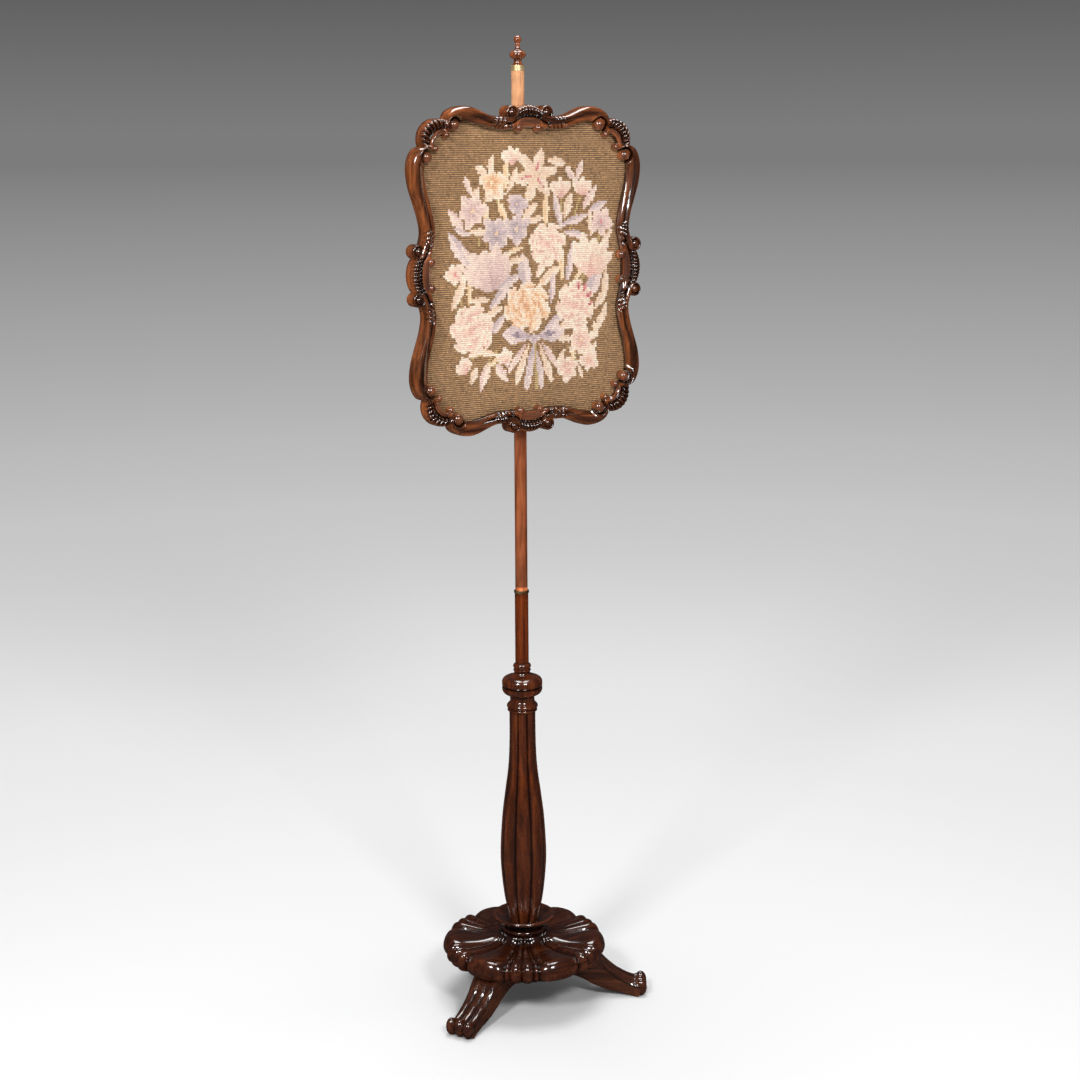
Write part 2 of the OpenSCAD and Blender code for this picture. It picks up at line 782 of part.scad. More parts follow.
// The drums and balls of one side, laid out with X along the side, Y outwards and Z forwards
module side_scrolls(edge, lobe, drum, ball_at) {
  volute = [lobe + shell_from_lobe * 0.42, edge - lobe_w - 4];
  corner_ball = [lobe + shell_from_lobe - 13.5, edge - shell_inset + 6];
  for (side = [-1, 1]) {
    translate([side * drum, edge - drum_out, 0])
      boss(drum_r, 0.5, ridge_h - 0.5);
    translate([side * ball_at, edge + band_bulge - band_w - 1, 0])
      boss(scroll_ball_r, ball_base_h, wall_h + 4.6);
    translate([side * volute[0], volute[1], 0])
      boss(volute_r, ball_base_h, ridge_h - 3);
    translate([side * corner_ball[0], corner_ball[1], 0])
      boss(corner_ball_r, ball_base_h, wall_h + 3.6);
  }
}

// Stands what is laid out in the frame's own plane upright behind the pole's front
module upright() {
  translate([0, -frame_back, screen_z])
    rotate([90, 0, 0])
      children();
}

// A dowel across each mitre, in the frame's own plane
module mitre_dowel_shapes(gap) {
  middle = [stile_edge - shell_inset, rail_edge - shell_inset];
  seat = middle + polar(mix(mitre_reach, shell_r, 0.68), 45);
  for (x = [-1, 1], y = [-1, 1])
    translate([x * seat[0], y * seat[1], wall_h / 2])
      rotate([0, 0, -45 * x * y])
        rotate([0, 90, 0])
          cylinder(r = dowel_r + gap, h = dowel_len + 2 * gap, center = true);
}

module rail_shape() {
  union() {
    skin([for (st = whole_side(rail_half())) side_ring(st)], side_cap);
    side_scrolls(rail_edge, rail_lobe, rail_drum, rail_ball_at);
  }
}

module stile_shape() {
  rotate([0, 0, -90])
    union() {
      skin([for (st = whole_side(stile_half())) side_ring(st)], side_cap);
      side_scrolls(stile_edge, stile_lobe, stile_drum, stile_ball_at);
    }
}

module frame_top_rail() {
  color("maroon")
    upright()
      difference() {
        rail_shape();
        mitre_dowel_shapes(glue_fit);
        bracket_screw_shapes(glue_fit);
      }
}

module frame_bottom_rail() {
  color("maroon")
    upright()
      difference() {
        rotate([0, 0, 180])
          rail_shape();
        mitre_dowel_shapes(glue_fit);
        bracket_screw_shapes(glue_fit);
      }
}

module frame_right_stile() {
  color("brown")
    upright()
      difference() {
        stile_shape();
        mitre_dowel_shapes(glue_fit);
      }
}

module frame_left_stile() {
  color("brown")
    upright()
      difference() {
        rotate([0, 0, 180])
          stile_shape();
        mitre_dowel_shapes(glue_fit);
      }
}

module mitre_dowels() {
  color("burlywood")
    upright()
      mitre_dowel_shapes(0);
}

// Panel: the needlework, its board and the back panel all follow the rebate

function rebate_point(st, width) =
  let (outer = [st[0], st[1]], inner = [st[2], st[3]])
  inner + (outer - inner) * width / norm(outer - inner);

function panel_outline(width) =
  let (
    rail = [for (st = whole_side(rail_half())) rebate_point(st, width)],
    stile = [for (st = whole_side(stile_half())) rebate_point(st, width)]
  )
  concat(
    [for (p = rail) p],
    [for (i = [1 : len(stile) - 2]) [stile[i][1], -stile[i][0]]],
    [for (p = rail) -p],
    [for (i = [1 : len(stile) - 2]) [-stile[i][1], stile[i][0]]]
  );

module panel_sheet(back, thick) {
  upright()
    translate([0, 0, back])
      linear_extrude(thick)
        polygon(panel_outline(lip_w - panel_fit));
}

module needlework() {
  color("tan")
    panel_sheet(brad_room + back_t + board_t, cloth_t);
}

module panel_board() {
  color("burlywood")
    panel_sheet(brad_room + back_t, board_t);
}

module back_panel() {
  color("sienna")
    panel_sheet(brad_room, back_t);
}

// Brads lie on the back panel and are driven outwards into the frame
brad_reach = 4;

module back_brads() {
  rail_brads = [for (x = [-0.75, 0.75]) x * rail_lobe];
  stile_brads = [for (y = [-0.8, 0, 0.8]) y * stile_lobe];
  color("dimgray")
    upright()
      for (turn = [0, 180])
        rotate([0, 0, turn]) {
          for (along = rail_brads)
            brad(whole_side(rail_half()), along);
          rotate([0, 0, -90])
            for (along = stile_brads)
              brad(whole_side(stile_half()), along);
        }
}

// One brad at the station nearest to a place along a side
module brad(side, along) {
  near = min([for (st = side) abs(st[2] - along)]);
  station = [for (st = side) if (abs(st[2] - along) == near) st][0];
  wall = rebate_point(station, lip_w);
  translate([wall[0], wall[1] - brad_len + brad_reach, brad_r])
    rotate([-90, 0, 0])
      cylinder(r = brad_r, h = brad_len);
}

// Brackets with rings that slide on the pole, and the clamp screw in the upper one

screw_at = [-plate_w * 0.37, plate_w * 0.37];
screw_head_r = 2 * screw_r;
screw_head_h = 1.4;
ring_bore = pole_r + running_fit;
boss_r = clamp_r + 3;
boss_start = pole_r + ring_t / 2;

// Wood screws of both brackets, in the frame's own plane
module bracket_screw_shapes(gap) {
  for (y = [-1, 1], x = screw_at)
    translate([x, y * bracket_up, 0]) {
      translate([0, 0, -plate_t])
        cylinder(r = screw_r + gap, h = screw_len + gap);
      translate([0, 0, -plate_t - screw_head_h])
        cylinder(r = screw_head_r + gap, h = screw_head_h);
    }
}

module bracket_screws() {
  color("goldenrod")
    upright()
      bracket_screw_shapes(0);
}

// A bracket at a height from the middle of the screen
module bracket(height, clamped) {
  color("gold")
    difference() {
      union() {
        translate([-plate_w / 2, -frame_back, screen_z + height - plate_h / 2])
          cube([plate_w, plate_t, plate_h]);
        translate([0, 0, screen_z + height - plate_h / 2])
          cylinder(r = ring_bore + ring_t, h = plate_h);
        if (clamped)
          translate([0, boss_start, screen_z + height])
            rotate([-90, 0, 0])
              cylinder(r = boss_r, h = boss_len);
      }
      translate([0, 0, screen_z + height - plate_h / 2 - 1])
        cylinder(r = ring_bore, h = plate_h + 2);
      if (clamped)
        translate([0, 0, screen_z + height])
          rotate([-90, 0, 0])
            cylinder(r = clamp_r + running_fit, h = boss_start + boss_len + 1);
      upright()
        bracket_screw_shapes(glue_fit);
    }
}

module upper_bracket() bracket(bracket_up, true);
module lower_bracket() bracket(-bracket_up, false);

module clamp_screw() {
  shank_end = boss_start + boss_len + 3;
  head_t = 5;
  profile = [
    [0, pole_r + clamp_gap], [clamp_r, pole_r + clamp_gap], [clamp_r, shank_end - 2], [clamp_r + 1.5, shank_end],
    [clamp_head_r - 0.8, shank_end], [clamp_head_r, shank_end + 0.8], [clamp_head_r, shank_end + head_t - 0.8],
    [clamp_head_r - 0.8, shank_end + head_t], [0, shank_end + head_t]
  ];
  color("gold")
    translate([0, 0, screen_z + bracket_up])
      rotate([-90, 0, 0])
        rotate_extrude()
          polygon(profile);
}

leg_front_left();
leg_front_right();
leg_back();
leg_screws();
leg_dowels();
base_dish();
base_collar();
column();
tenon_wedge();
knop();
pole_stub();
pole_ferrule();
pole();
pole_cap();
finial();
frame_top_rail();
frame_bottom_rail();
frame_left_stile();
frame_right_stile();
mitre_dowels();
needlework();
panel_board();
back_panel();
back_brads();
upper_bracket();
lower_bracket();
bracket_screws();
clamp_screw();
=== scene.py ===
import math

import bpy
import numpy as np
from mathutils import Euler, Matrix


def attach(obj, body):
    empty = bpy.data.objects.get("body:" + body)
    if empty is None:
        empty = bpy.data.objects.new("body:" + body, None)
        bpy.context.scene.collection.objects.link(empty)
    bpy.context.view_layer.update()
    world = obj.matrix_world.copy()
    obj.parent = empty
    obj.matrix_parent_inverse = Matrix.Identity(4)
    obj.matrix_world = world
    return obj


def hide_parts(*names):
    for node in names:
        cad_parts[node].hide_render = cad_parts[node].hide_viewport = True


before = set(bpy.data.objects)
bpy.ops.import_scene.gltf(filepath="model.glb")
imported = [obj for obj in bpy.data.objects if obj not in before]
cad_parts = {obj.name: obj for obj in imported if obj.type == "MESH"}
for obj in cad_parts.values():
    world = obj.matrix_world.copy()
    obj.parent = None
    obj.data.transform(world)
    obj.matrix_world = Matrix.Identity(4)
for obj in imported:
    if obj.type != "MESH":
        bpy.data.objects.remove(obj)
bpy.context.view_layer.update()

MM = 0.001
SHARP_ANGLE = math.radians(48)

# Sizes in millimetres, most of them as in the part's source
LEG_H = 70
LEG_T = 28
LEG_W = 43
LEG_ROOT_R = 28
TOE_R = 207
TOE_FLARE = 3
INSTEP_H = 24
TOE_H = 33
HEEL_H = 22
BASE_TURN = -2
DISH_R = 136.5
DISH_SEAT_H = 43
DISH_HOLLOW_H = 31
DISH_FLAT_IN = 21
PETAL_GROOVE = 9.5
WIDE_PETAL = 34
COLLAR_Z = 113
COLLAR_R = 52
BEAD_R = 37
COLLAR_SEAT_H = 17
COLUMN_Z = 130
COLUMN_H = 366
COLUMN_R = 38
NECK_R = 21
TENON_R = 14
REED_COUNT = 8
REED_GROOVE = 2.4
KNOP_Z = 496
KNOP_H = 81
KNOP_R = 33
KNOP_RING_R = 25.5
STUB_Z = 577
STUB_R = 11
POLE_Z = 700
POLE_R = 10
SPIGOT_R = 7
FERRULE_R = 11.8
FERRULE_H = 5
SPIGOT_LEN = 55
CAP_Z = 1518
FINIAL_Z = 1526
FINIAL_H = 44
FINIAL_R = 12.6
FINIAL_PEG_R = 4
FINIAL_PEG_LEN = 32
SCREEN_Z = 1215
FRAME_BACK = 13
RAIL_EDGE = 250
STILE_EDGE = 203.5
LOBE_INSET = 94
SHELL_INSET = 49
SHELL_R = 30.5
NOTCH_TURN = 110
SCROLL_R = 18
SCROLL_TURN = 153
SHELL_FROM_LOBE = LOBE_INSET - SHELL_INSET
RAIL_DRUM = 30.5
STILE_DRUM = 36
REBATE_D = 9.8
WALL_H = 17
RIDGE_H = 27
LIP_W = 6
PANEL_FIT = 0.4
CLOTH_H = 8.65

# How far the frame's lip is cut back underneath
UNDERCUT = 2.4

# Least radius of a turned profile, so that its ends stay rings
LEAST_R = 0.25

# Tone of the carved balls, greyed as a painted reflection
GREY_SHEEN_TONE = 1.7


# Curves and skins


def unit(x):
    """A value held between 0 and 1."""
    return np.clip(x, 0, 1)


def ease(t):
    """Soft step from 0 to 1: half a cosine wave."""
    return (1 - np.cos(np.pi * unit(t))) / 2


def mix(a, b, t):
    """Straight blend from a to b."""
    return a + (b - a) * t


def spline(keys, count):
    """Smooth curve through every key, in cubic pieces.

    The slope at a key is half the step between its neighbours.
    """
    keys = np.asarray(keys, float)
    padded = np.concatenate([keys[:1], keys, keys[-1:]])
    t = np.linspace(0, 1, count, endpoint=False)[None, :, None]
    a, b, c, d = (padded[i:len(keys) - 1 + i][:, None, :] for i in range(4))
    fine = 2 * b + (c - a) * t + (2 * a - 5 * b + 4 * c - d) * t ** 2
    fine = 0.5 * (fine + (3 * b - a - 3 * c + d) * t ** 3)
    return np.concatenate([fine.reshape(-1, keys.shape[1]), keys[-1:]])


def arc(centre_r, centre_z, radius_r, radius_z, first, last, count):
    """Part of an ellipse in the plane of a turned profile, between two angles in degrees."""
    a = np.radians(np.linspace(first, last, count))
    return np.stack([centre_r + radius_r * np.cos(a), centre_z + radius_z * np.sin(a)], axis=1)


def bell(x, middle, width):
    """Bell curve: 1 in the middle, and nearly 0 at twice the width from it."""
    return np.exp(-((x - middle) / width) ** 2)


def polar(radius, degrees):
    """Point in a plane at a radius and an angle."""
    a = math.radians(degrees)
    return radius * np.array([math.cos(a), math.sin(a)])


def round_angles(count):
    """Angles evenly spaced round a circle, in radians."""
    return np.linspace(0, 2 * np.pi, count, endpoint=False)


def lattice(x, y, z):
    """Grid of points from three coordinates, each of which may vary along rows, along columns or both."""
    return np.stack(np.broadcast_arrays(x, y, z), axis=-1)


def skin(rings, tone, joined=False):
    """Closed skin over a grid of rings: each ring closes on itself.

    A flat face ends the first and last ring, unless the rings are joined into an endless loop.
    The tone may vary along rings, from ring to ring, both or not at all.
    """
    count, size, _ = rings.shape
    index = np.arange(count * size).reshape(count, size)
    rows = np.concatenate([index, index[:1]]) if joined else index
    beside = np.roll(rows, -1, axis=1)
    quads = np.stack([rows[:-1], beside[:-1], beside[1:], rows[1:]], axis=-1).reshape(-1, 4)
    ends = np.zeros((0, size), dtype=int) if joined else np.stack([index[0][::-1], index[-1]])
    points = rings.reshape(-1, 3)
    a, b, c, d = (points[quads[:, k]] for k in range(4))
    volume = (np.cross(b, c) * a).sum() + (np.cross(c, d) * a).sum()
    for end in ends:
        fan = points[end]
        volume += (np.cross(fan[1:-1], fan[2:]) * fan[0]).sum()
    if volume < 0:
        quads = quads[:, ::-1]
        ends = ends[:, ::-1]
    tones = np.broadcast_to(tone, (count, size)).reshape(-1).astype(float)
    return {"points": points, "quads": quads, "ends": ends, "tone": tones}


def turned(profile, tone, segments=96):
    """A profile of radius and height, with a tone at each point, carried once round the pole's axis."""
    r = np.maximum(profile[:, 0], LEAST_R)[:, None]
    a = round_angles(segments)
    return skin(lattice(r * np.cos(a), r * np.sin(a), profile[:, 1][:, None]), tone[:, None])


def piece(name, shells, material, body, nodes=()):
    """One mesh object from several skins, with the finish's tone on its points."""
    points, loops, starts, tones = [], [], [], []
    first, at = 0, 0
    for shell in shells:
        points.append(shell["points"])
        tones.append(shell["tone"])
        loops.append((shell["quads"] + first).reshape(-1))
        starts.append(at + 4 * np.arange(len(shell["quads"])))
        at += 4 * len(shell["quads"])
        for end in shell["ends"]:
            loops.append(end + first)
            starts.append(np.array([at]))
            at += len(end)
        first += len(shell["points"])
    return mesh_object(
        name, np.concatenate(points), np.concatenate(loops), np.concatenate(starts),
        np.concatenate(tones), material, body, nodes,
    )


def new_object(name, data):
    """An object in the scene, with its mesh, lamp or camera."""
    obj = bpy.data.objects.new(name, data)
    bpy.context.scene.collection.objects.link(obj)
    return obj


def mesh_object(name, points, loops, starts, tones, material, body, nodes):
    """A mesh from points in millimetres and faces, shaded smooth with crisp corners.

    It rides on a body, has a slot and stands for CAD nodes.
    """
    mesh = bpy.data.meshes.new(name)
    mesh.vertices.add(len(points))
    mesh.vertices.foreach_set("co", (points * MM).astype(np.float32).ravel())
    mesh.loops.add(len(loops))
    mesh.loops.foreach_set("vertex_index", loops.astype(np.int32))
    mesh.polygons.add(len(starts))
    mesh.polygons.foreach_set("loop_start", starts.astype(np.int32))
    mesh.polygons.foreach_set("use_smooth", np.ones(len(starts), dtype=bool))
    mesh.update(calc_edges=True)
    mesh.validate()
    mesh.set_sharp_from_angle(angle=SHARP_ANGLE)
    attribute = mesh.attributes.new("tone", "FLOAT", "POINT")
    attribute.data.foreach_set("value", tones.astype(np.float32))
    mesh.materials.append(material)
    obj = new_object(name, mesh)
    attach(obj, body)
    if nodes:
        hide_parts(*nodes)
    return obj


# Finishes


def set_inputs(node, **values):
    """Writes plain values into a node's inputs; an underscore stands for a space."""
    for key, value in values.items():
        node.inputs[key.replace("_", " ")].default_value = value


def shade(colour, part):
    """A colour times a number."""
    return tuple(part * x for x in colour)


class Nodes:
    """A tree of shader nodes, with short calls for the nodes that the finishes and the studio use."""

    def __init__(self, tree):
        self.tree = tree

    def add(self, kind, **settings):
        node = self.tree.nodes.new(kind)
        for key, value in settings.items():
            setattr(node, key, value)
        return node

    def link(self, source, target):
        self.tree.links.new(source, target)

    def feed(self, source, target):
        """Links a socket to an input, or writes a plain colour or number into it."""
        if hasattr(source, "is_linked"):
            self.link(source, target)
        else:
            target.default_value = (*source, 1) if isinstance(source, tuple) else source

    def coordinates(self, kind):
        return self.add("ShaderNodeTexCoord").outputs[kind]

    def place(self, scale, turn=(0, 0, 0)):
        """Object coordinates, turned and then stretched."""
        turned_map = self.add("ShaderNodeMapping")
        set_inputs(turned_map, Rotation=turn)
        self.link(self.coordinates("Object"), turned_map.inputs["Vector"])
        mapping = self.add("ShaderNodeMapping")
        set_inputs(mapping, Scale=scale)
        self.link(turned_map.outputs["Vector"], mapping.inputs["Vector"])
        return mapping.outputs["Vector"]

    def height(self, vector):
        node = self.add("ShaderNodeSeparateXYZ")
        self.link(vector, node.inputs[0])
        return node.outputs["Z"]

    def noise(self, vector, detail, rough=0.55, warp=0.0):
        node = self.add("ShaderNodeTexNoise")
        set_inputs(node, Scale=1.0, Detail=detail, Roughness=rough, Distortion=warp)
        self.link(vector, node.inputs["Vector"])
        return node.outputs["Fac"]

    def ramp(self, value, places, colours):
        """Colours at places along a value from 0 to 1."""
        node = self.add("ShaderNodeValToRGB")
        elements = node.color_ramp.elements
        while len(elements) < len(places):
            elements.new(0.5)
        for element, place, colour in zip(elements, places, colours):
            element.position = place
            element.color = (*colour, 1)
        self.link(value, node.inputs["Fac"])
        return node.outputs["Color"]

    def spread(self, value, low, high, out_low=0.0, out_high=1.0):
        """Maps a value from one range to another, held at the ends."""
        node = self.add("ShaderNodeMapRange")
        set_inputs(node, From_Min=low, From_Max=high, To_Min=out_low, To_Max=out_high)
        self.link(value, node.inputs["Value"])
        return node.outputs["Result"]

    def calculate(self, operation, first, second):
        node = self.add("ShaderNodeMath", operation=operation)
        self.feed(first, node.inputs[0])
        self.feed(second, node.inputs[1])
        return node.outputs["Value"]

    def blend(self, factor, first, second):
        """From the first colour at factor 0 to the second at 1; each colour is a socket or a plain colour."""
        node = self.add("ShaderNodeMix", data_type="RGBA")
        self.link(factor, node.inputs[0])
        self.feed(first, node.inputs[6])
        self.feed(second, node.inputs[7])
        return node.outputs[2]

    def choose(self, factor, first, second):
        """From the first shader at factor 0 to the second at 1."""
        node = self.add("ShaderNodeMixShader")
        for socket, target in zip((factor, first, second), node.inputs):
            self.link(socket, target)
        return node.outputs["Shader"]

    def value_of(self, name, output="Fac"):
        return self.add("ShaderNodeAttribute", attribute_name=name).outputs[output]


class Finish(Nodes):
    """A material made of nodes round one shader."""

    def __init__(self, name):
        self.material = bpy.data.materials.new(name)
        self.material.use_nodes = True
        super().__init__(self.material.node_tree)
        self.shader = self.tree.nodes["Principled BSDF"]

    def paint(self, colour):
        self.link(colour, self.shader.inputs["Base Color"])

    def roughen(self, value, gloss):
        """Roughness that follows a noise between two ends."""
        self.link(self.spread(value, 0.3, 0.7, *gloss), self.shader.inputs["Roughness"])

    def bump(self, height, strength, distance):
        node = self.add("ShaderNodeBump")
        set_inputs(node, Strength=strength, Distance=distance)
        self.link(height, node.inputs["Height"])
        self.link(node.outputs["Normal"], self.shader.inputs["Normal"])


# Places of the tones along the noise, and how much brighter than the warm tone the paler parts are at each of
# them: parts paler with wear and parts with painted light
STREAK_PLACES = (0.36, 0.5, 0.66)
WORN_AND_LIT_PARTS = (0.75, 1.7, 3.2)
TARNISH_PLACES = (0.3, 0.5, 0.72)
# Grime and painted shade in hollows, grooves and under parts, where the tone goes from 0 to -1, and a painted
# grey reflection on ornaments, where it goes from 1 to 2
GRIME_AND_SHADE = (0.004, 0.0014, 0.0008)
GREY_SHEEN = (0.04, 0.021, 0.0185)


def wood(name, tones, along, toned=True, gloss=(0.2, 0.36), coat=0.9, turn=0.0, fade=None):
    """Polished wood: streaks along the grain, fine pores, grime and painted shade in hollows, and parts made
    paler by wear and by painted light.

    The tones are a dark, a middle and a warm one. A fade goes over to a paler colour between two heights. A
    tone above 1 greys the colour: a painted reflection.
    """
    finish = Finish(name)
    dark, _, warm = tones

    def grain(across, lengthwise):
        scale = [across, across, across]
        scale[along] = lengthwise
        return finish.place(scale, (0, 0, turn))

    streaks = finish.noise(grain(95, 8), 7, 0.62, 0.6)
    pores = finish.noise(grain(520, 26), 2, 0.5)
    colour = finish.ramp(streaks, STREAK_PLACES, tones)
    if fade is not None:
        low, high, pale = fade
        mottled = finish.blend(finish.spread(streaks, 0.35, 0.65), shade(pale, 0.8), pale)
        height = finish.height(finish.place((1, 1, 1)))
        colour = finish.blend(finish.spread(height, low, high), colour, mottled)
    colour = finish.blend(finish.spread(pores, 0.56, 0.72, 0, 0.5), colour, shade(dark, 0.35))
    if toned:
        tone = finish.value_of("tone")
        patchy = finish.noise(finish.place((30, 30, 30)), 3)
        colour = finish.blend(finish.spread(patchy, 0.42, 0.78, 0, 0.4), colour, shade(dark, 0.6))
        # The tone paints colour: above 0 paler, for wear and painted light; above 1 grey, a painted
        # reflection; below 0 dark, for grime and painted shade
        worn_and_lit = finish.ramp(streaks, STREAK_PLACES, [shade(warm, part) for part in WORN_AND_LIT_PARTS])
        colour = finish.blend(finish.spread(tone, 0, 1, 0, 0.9), colour, worn_and_lit)
        colour = finish.blend(finish.spread(tone, 1, 2, 0, 0.85), colour, GREY_SHEEN)
        colour = finish.blend(finish.spread(tone, -1, 0, 0.95, 0), colour, GRIME_AND_SHADE)
    finish.paint(colour)
    finish.roughen(finish.noise(finish.place((55, 55, 55)), 4), gloss)
    finish.bump(pores, 0.1, 0.0003)
    set_inputs(finish.shader, Coat_Weight=coat, Coat_Roughness=0.12, Coat_IOR=1.9, Specular_IOR_Level=0.12)
    return finish.material


def brass_finish(name, tones, gloss):
    """Old brass: warm metal with brown tarnish in patches and fine scratches that roughen the shine."""
    finish = Finish(name)
    finish.paint(finish.ramp(finish.noise(finish.place((90, 90, 90)), 6, 0.6), TARNISH_PLACES, tones))
    scratches = finish.noise(finish.place((900, 900, 120)), 3)
    finish.roughen(scratches, gloss)
    finish.bump(scratches, 0.06, 0.0002)
    set_inputs(finish.shader, Metallic=0.75)
    return finish.material


def iron_finish(name):
    """Dull iron: near-black metal with rusty patches."""
    finish = Finish(name)
    rust = finish.noise(finish.place((260, 260, 260)), 5)
    finish.paint(finish.ramp(rust, (0.35, 0.7), ((0.03, 0.028, 0.026), (0.12, 0.06, 0.03))))
    finish.roughen(rust, (0.45, 0.75))
    set_inputs(finish.shader, Metallic=0.8)
    return finish.material


def wool_finish(name):
    """Stitched wool: each stitch keeps its own colour, with painted shade between the rows and a painted
    highlight on their crests, fibres across it and a soft sheen.
    """
    finish = Finish(name)
    fibres = finish.noise(finish.place((900, 900, 2600), (0, 0.7, 0)), 3)
    stitch_colour = finish.value_of("stitch_colour", "Color")
    finish.paint(finish.blend(finish.spread(fibres, 0.35, 0.75, 0, 0.16), stitch_colour, (0.05, 0.035, 0.02)))
    finish.bump(fibres, 0.5, 0.0006)
    set_inputs(finish.shader, Roughness=0.92, Sheen_Weight=0.25, Sheen_Roughness=0.5, Specular_IOR_Level=0.15)
    return finish.material


FRAME_TONES = ((0.018, 0.0055, 0.0022), (0.07, 0.0195, 0.0073), (0.187, 0.053, 0.0145))
COLUMN_TONES = ((0.032, 0.006, 0.0014), (0.064, 0.012, 0.0026), (0.125, 0.027, 0.005))
DISH_TONES = ((0.018, 0.0039, 0.0014), (0.037, 0.0078, 0.0025), (0.072, 0.017, 0.0049))
LEG_TONES = ((0.029, 0.0078, 0.0034), (0.056, 0.0155, 0.0068), (0.105, 0.03, 0.0108))
STUB_TONES = ((0.05, 0.006, 0.0005), (0.13, 0.02, 0.001), (0.2, 0.037, 0.003))
POLE_TONES = ((0.11, 0.028, 0.01), (0.27, 0.07, 0.024), (0.42, 0.12, 0.042))
FINIAL_TONES = ((0.06, 0.0125, 0.0035), (0.15, 0.035, 0.01), (0.3, 0.08, 0.026))
BACK_TONES = ((0.13, 0.055, 0.024), (0.22, 0.1, 0.045), (0.32, 0.155, 0.075))
PLAIN_TONES = ((0.3, 0.19, 0.09), (0.42, 0.28, 0.15), (0.52, 0.37, 0.21))
OLD_BRASS_TONES = ((0.36, 0.22, 0.08), (0.72, 0.5, 0.2), (0.86, 0.68, 0.36))
BRIGHT_BRASS_TONES = ((0.75, 0.5, 0.2), (0.95, 0.74, 0.4), (1.0, 0.85, 0.55))
DARK_BRASS_TONES = ((0.06, 0.03, 0.012), (0.16, 0.085, 0.03), (0.4, 0.28, 0.14))
POLE_FADE = (1.25, 1.48, (1.0, 0.5, 0.25))
along_x = wood("mahogany along the rails", FRAME_TONES, 0)
along_z = wood("mahogany along the stiles", FRAME_TONES, 2)
column_wood = wood("mahogany of the column", COLUMN_TONES, 2)
dish_wood = wood("mahogany of the dish", DISH_TONES, 0)
stub_wood = wood("mahogany of the lower pole", STUB_TONES, 2)
finial_wood = wood("mahogany of the finial", FINIAL_TONES, 2)
pole_wood = wood("faded pole wood", POLE_TONES, 2, gloss=(0.32, 0.48), coat=0.25, fade=POLE_FADE)
back_wood = wood("back panel wood", BACK_TONES, 2, toned=False, gloss=(0.5, 0.7), coat=0.0)
plain_wood = wood("plain wood", PLAIN_TONES, 2, toned=False, gloss=(0.55, 0.75), coat=0.0)
brass = brass_finish("old brass", OLD_BRASS_TONES, (0.2, 0.42))
bright_brass = brass_finish("bright brass", BRIGHT_BRASS_TONES, (0.3, 0.42))
dark_brass = brass_finish("dark brass", DARK_BRASS_TONES, (0.22, 0.4))
iron = iron_finish("dull iron")
wool = wool_finish("stitched wool")


# Legs


# Distance between reeds as a share of half the leg's width, and how far the outer and inner reeds fall, in mm
REED_PITCH = 0.66
OUTER_FALL = 5.2
INNER_FALL = 4.2


def leg_shells(angle):
    """A leg: sections along a radius, each with three round reeds on top, and three knobs at the toe.

    The height of the top and the underside follow curves through the leg's key places.
    A reed is a bump whose depth grows with the 2.4th power of the distance from its crest.
    """
    slope_r = DISH_R - DISH_FLAT_IN
    root = [(mix(LEG_ROOT_R, slope_r, at), LEG_H, mix(LEG_H - LEG_T, HEEL_H, fall), 0.02, 0.0)
            for at, fall in ((0, 0), (0.4, 0.05), (0.65, 0.25), (0.85, 0.62))]
    places = (
        (0, 1, 0, 1), (0.09, 0.93, 0, 0.84), (0.18, 0.78, 0, 0.68), (0.26, 0.62, 0, 0.56),
        (0.34, 0.48, 0, 0.47), (0.43, 0.33, 0, 0.4), (0.53, 0.21, 0, 0.31), (0.62, 0.11, 0, 0.18),
        (0.71, 0.04, 0, 0.07), (0.78, 0, 0, 0), (0.83, 0, 0.1, 0), (0.875, 0, -0.2, 0.1),
    )
    rest = []
    for at, drop, rise, under in places:
        top = INSTEP_H + (LEG_H - INSTEP_H) * drop + (TOE_H - INSTEP_H) * rise
        carve = mix(0.02, 1, ease((at - 0.05) * 4)) + 0.5 * ease((at - 0.6) * 3)
        rest.append((mix(slope_r, TOE_R, at), top, HEEL_H * under, carve, TOE_FLARE * ease((at - 0.72) * 8)))
    keys = spline(root + rest, 6)
    r, top, bottom, carve, flare = (keys[:, k][:, None] for k in range(5))
    half = LEG_W / 2 + flare
    across = np.linspace(1, -1, 67)[None, :]
    crest = np.round(across / REED_PITCH) * REED_PITCH
    slack = np.abs(across - crest) / (REED_PITCH / 2)
    depth = np.where(np.abs(across) > REED_PITCH, OUTER_FALL, INNER_FALL) * slack ** 2.4
    # Painted shade darkens the grooves between the reeds
    groove = -1.15 * unit(slack - 0.55) ** 1.3 * 2.2 * unit(carve)
    top_points = lattice(r, across * half, top - depth * carve)
    edge = top - OUTER_FALL * carve
    down = np.array([0.12, 0.4, 0.7, 0.93])[None, :]
    inset = np.array([0.0, 0.6, 0.6, 0.0])[None, :]
    right = lattice(r, -half + inset, mix(edge, bottom, down))
    sole = lattice(r, half * np.array([[-0.93, -0.4, 0.4, 0.93]]), bottom)
    left = lattice(r, half - inset, mix(edge, bottom, down[:, ::-1]))
    rings = np.concatenate([top_points, right, sole, left], axis=1)
    plain = np.full((len(keys), 12), 0.12)
    tone = np.concatenate([np.broadcast_to(groove, top_points.shape[:2]), plain], axis=1)
    shells = [(rings, tone)]
    for shift in (-REED_PITCH, 0, REED_PITCH):
        plump = 1.0 if shift else 1.08
        across_at = shift * (LEG_W / 2 + TOE_FLARE)
        shells.append(knob((TOE_R - 9.6 * plump, across_at, 14.6), (9.8 * plump, 8.4 * plump, 14.2)))
    turn = math.radians(angle - 90)
    spin = np.array([[math.cos(turn), math.sin(turn), 0], [-math.sin(turn), math.cos(turn), 0], [0, 0, 1]])
    return [skin(points @ spin, tones) for points, tones in shells]


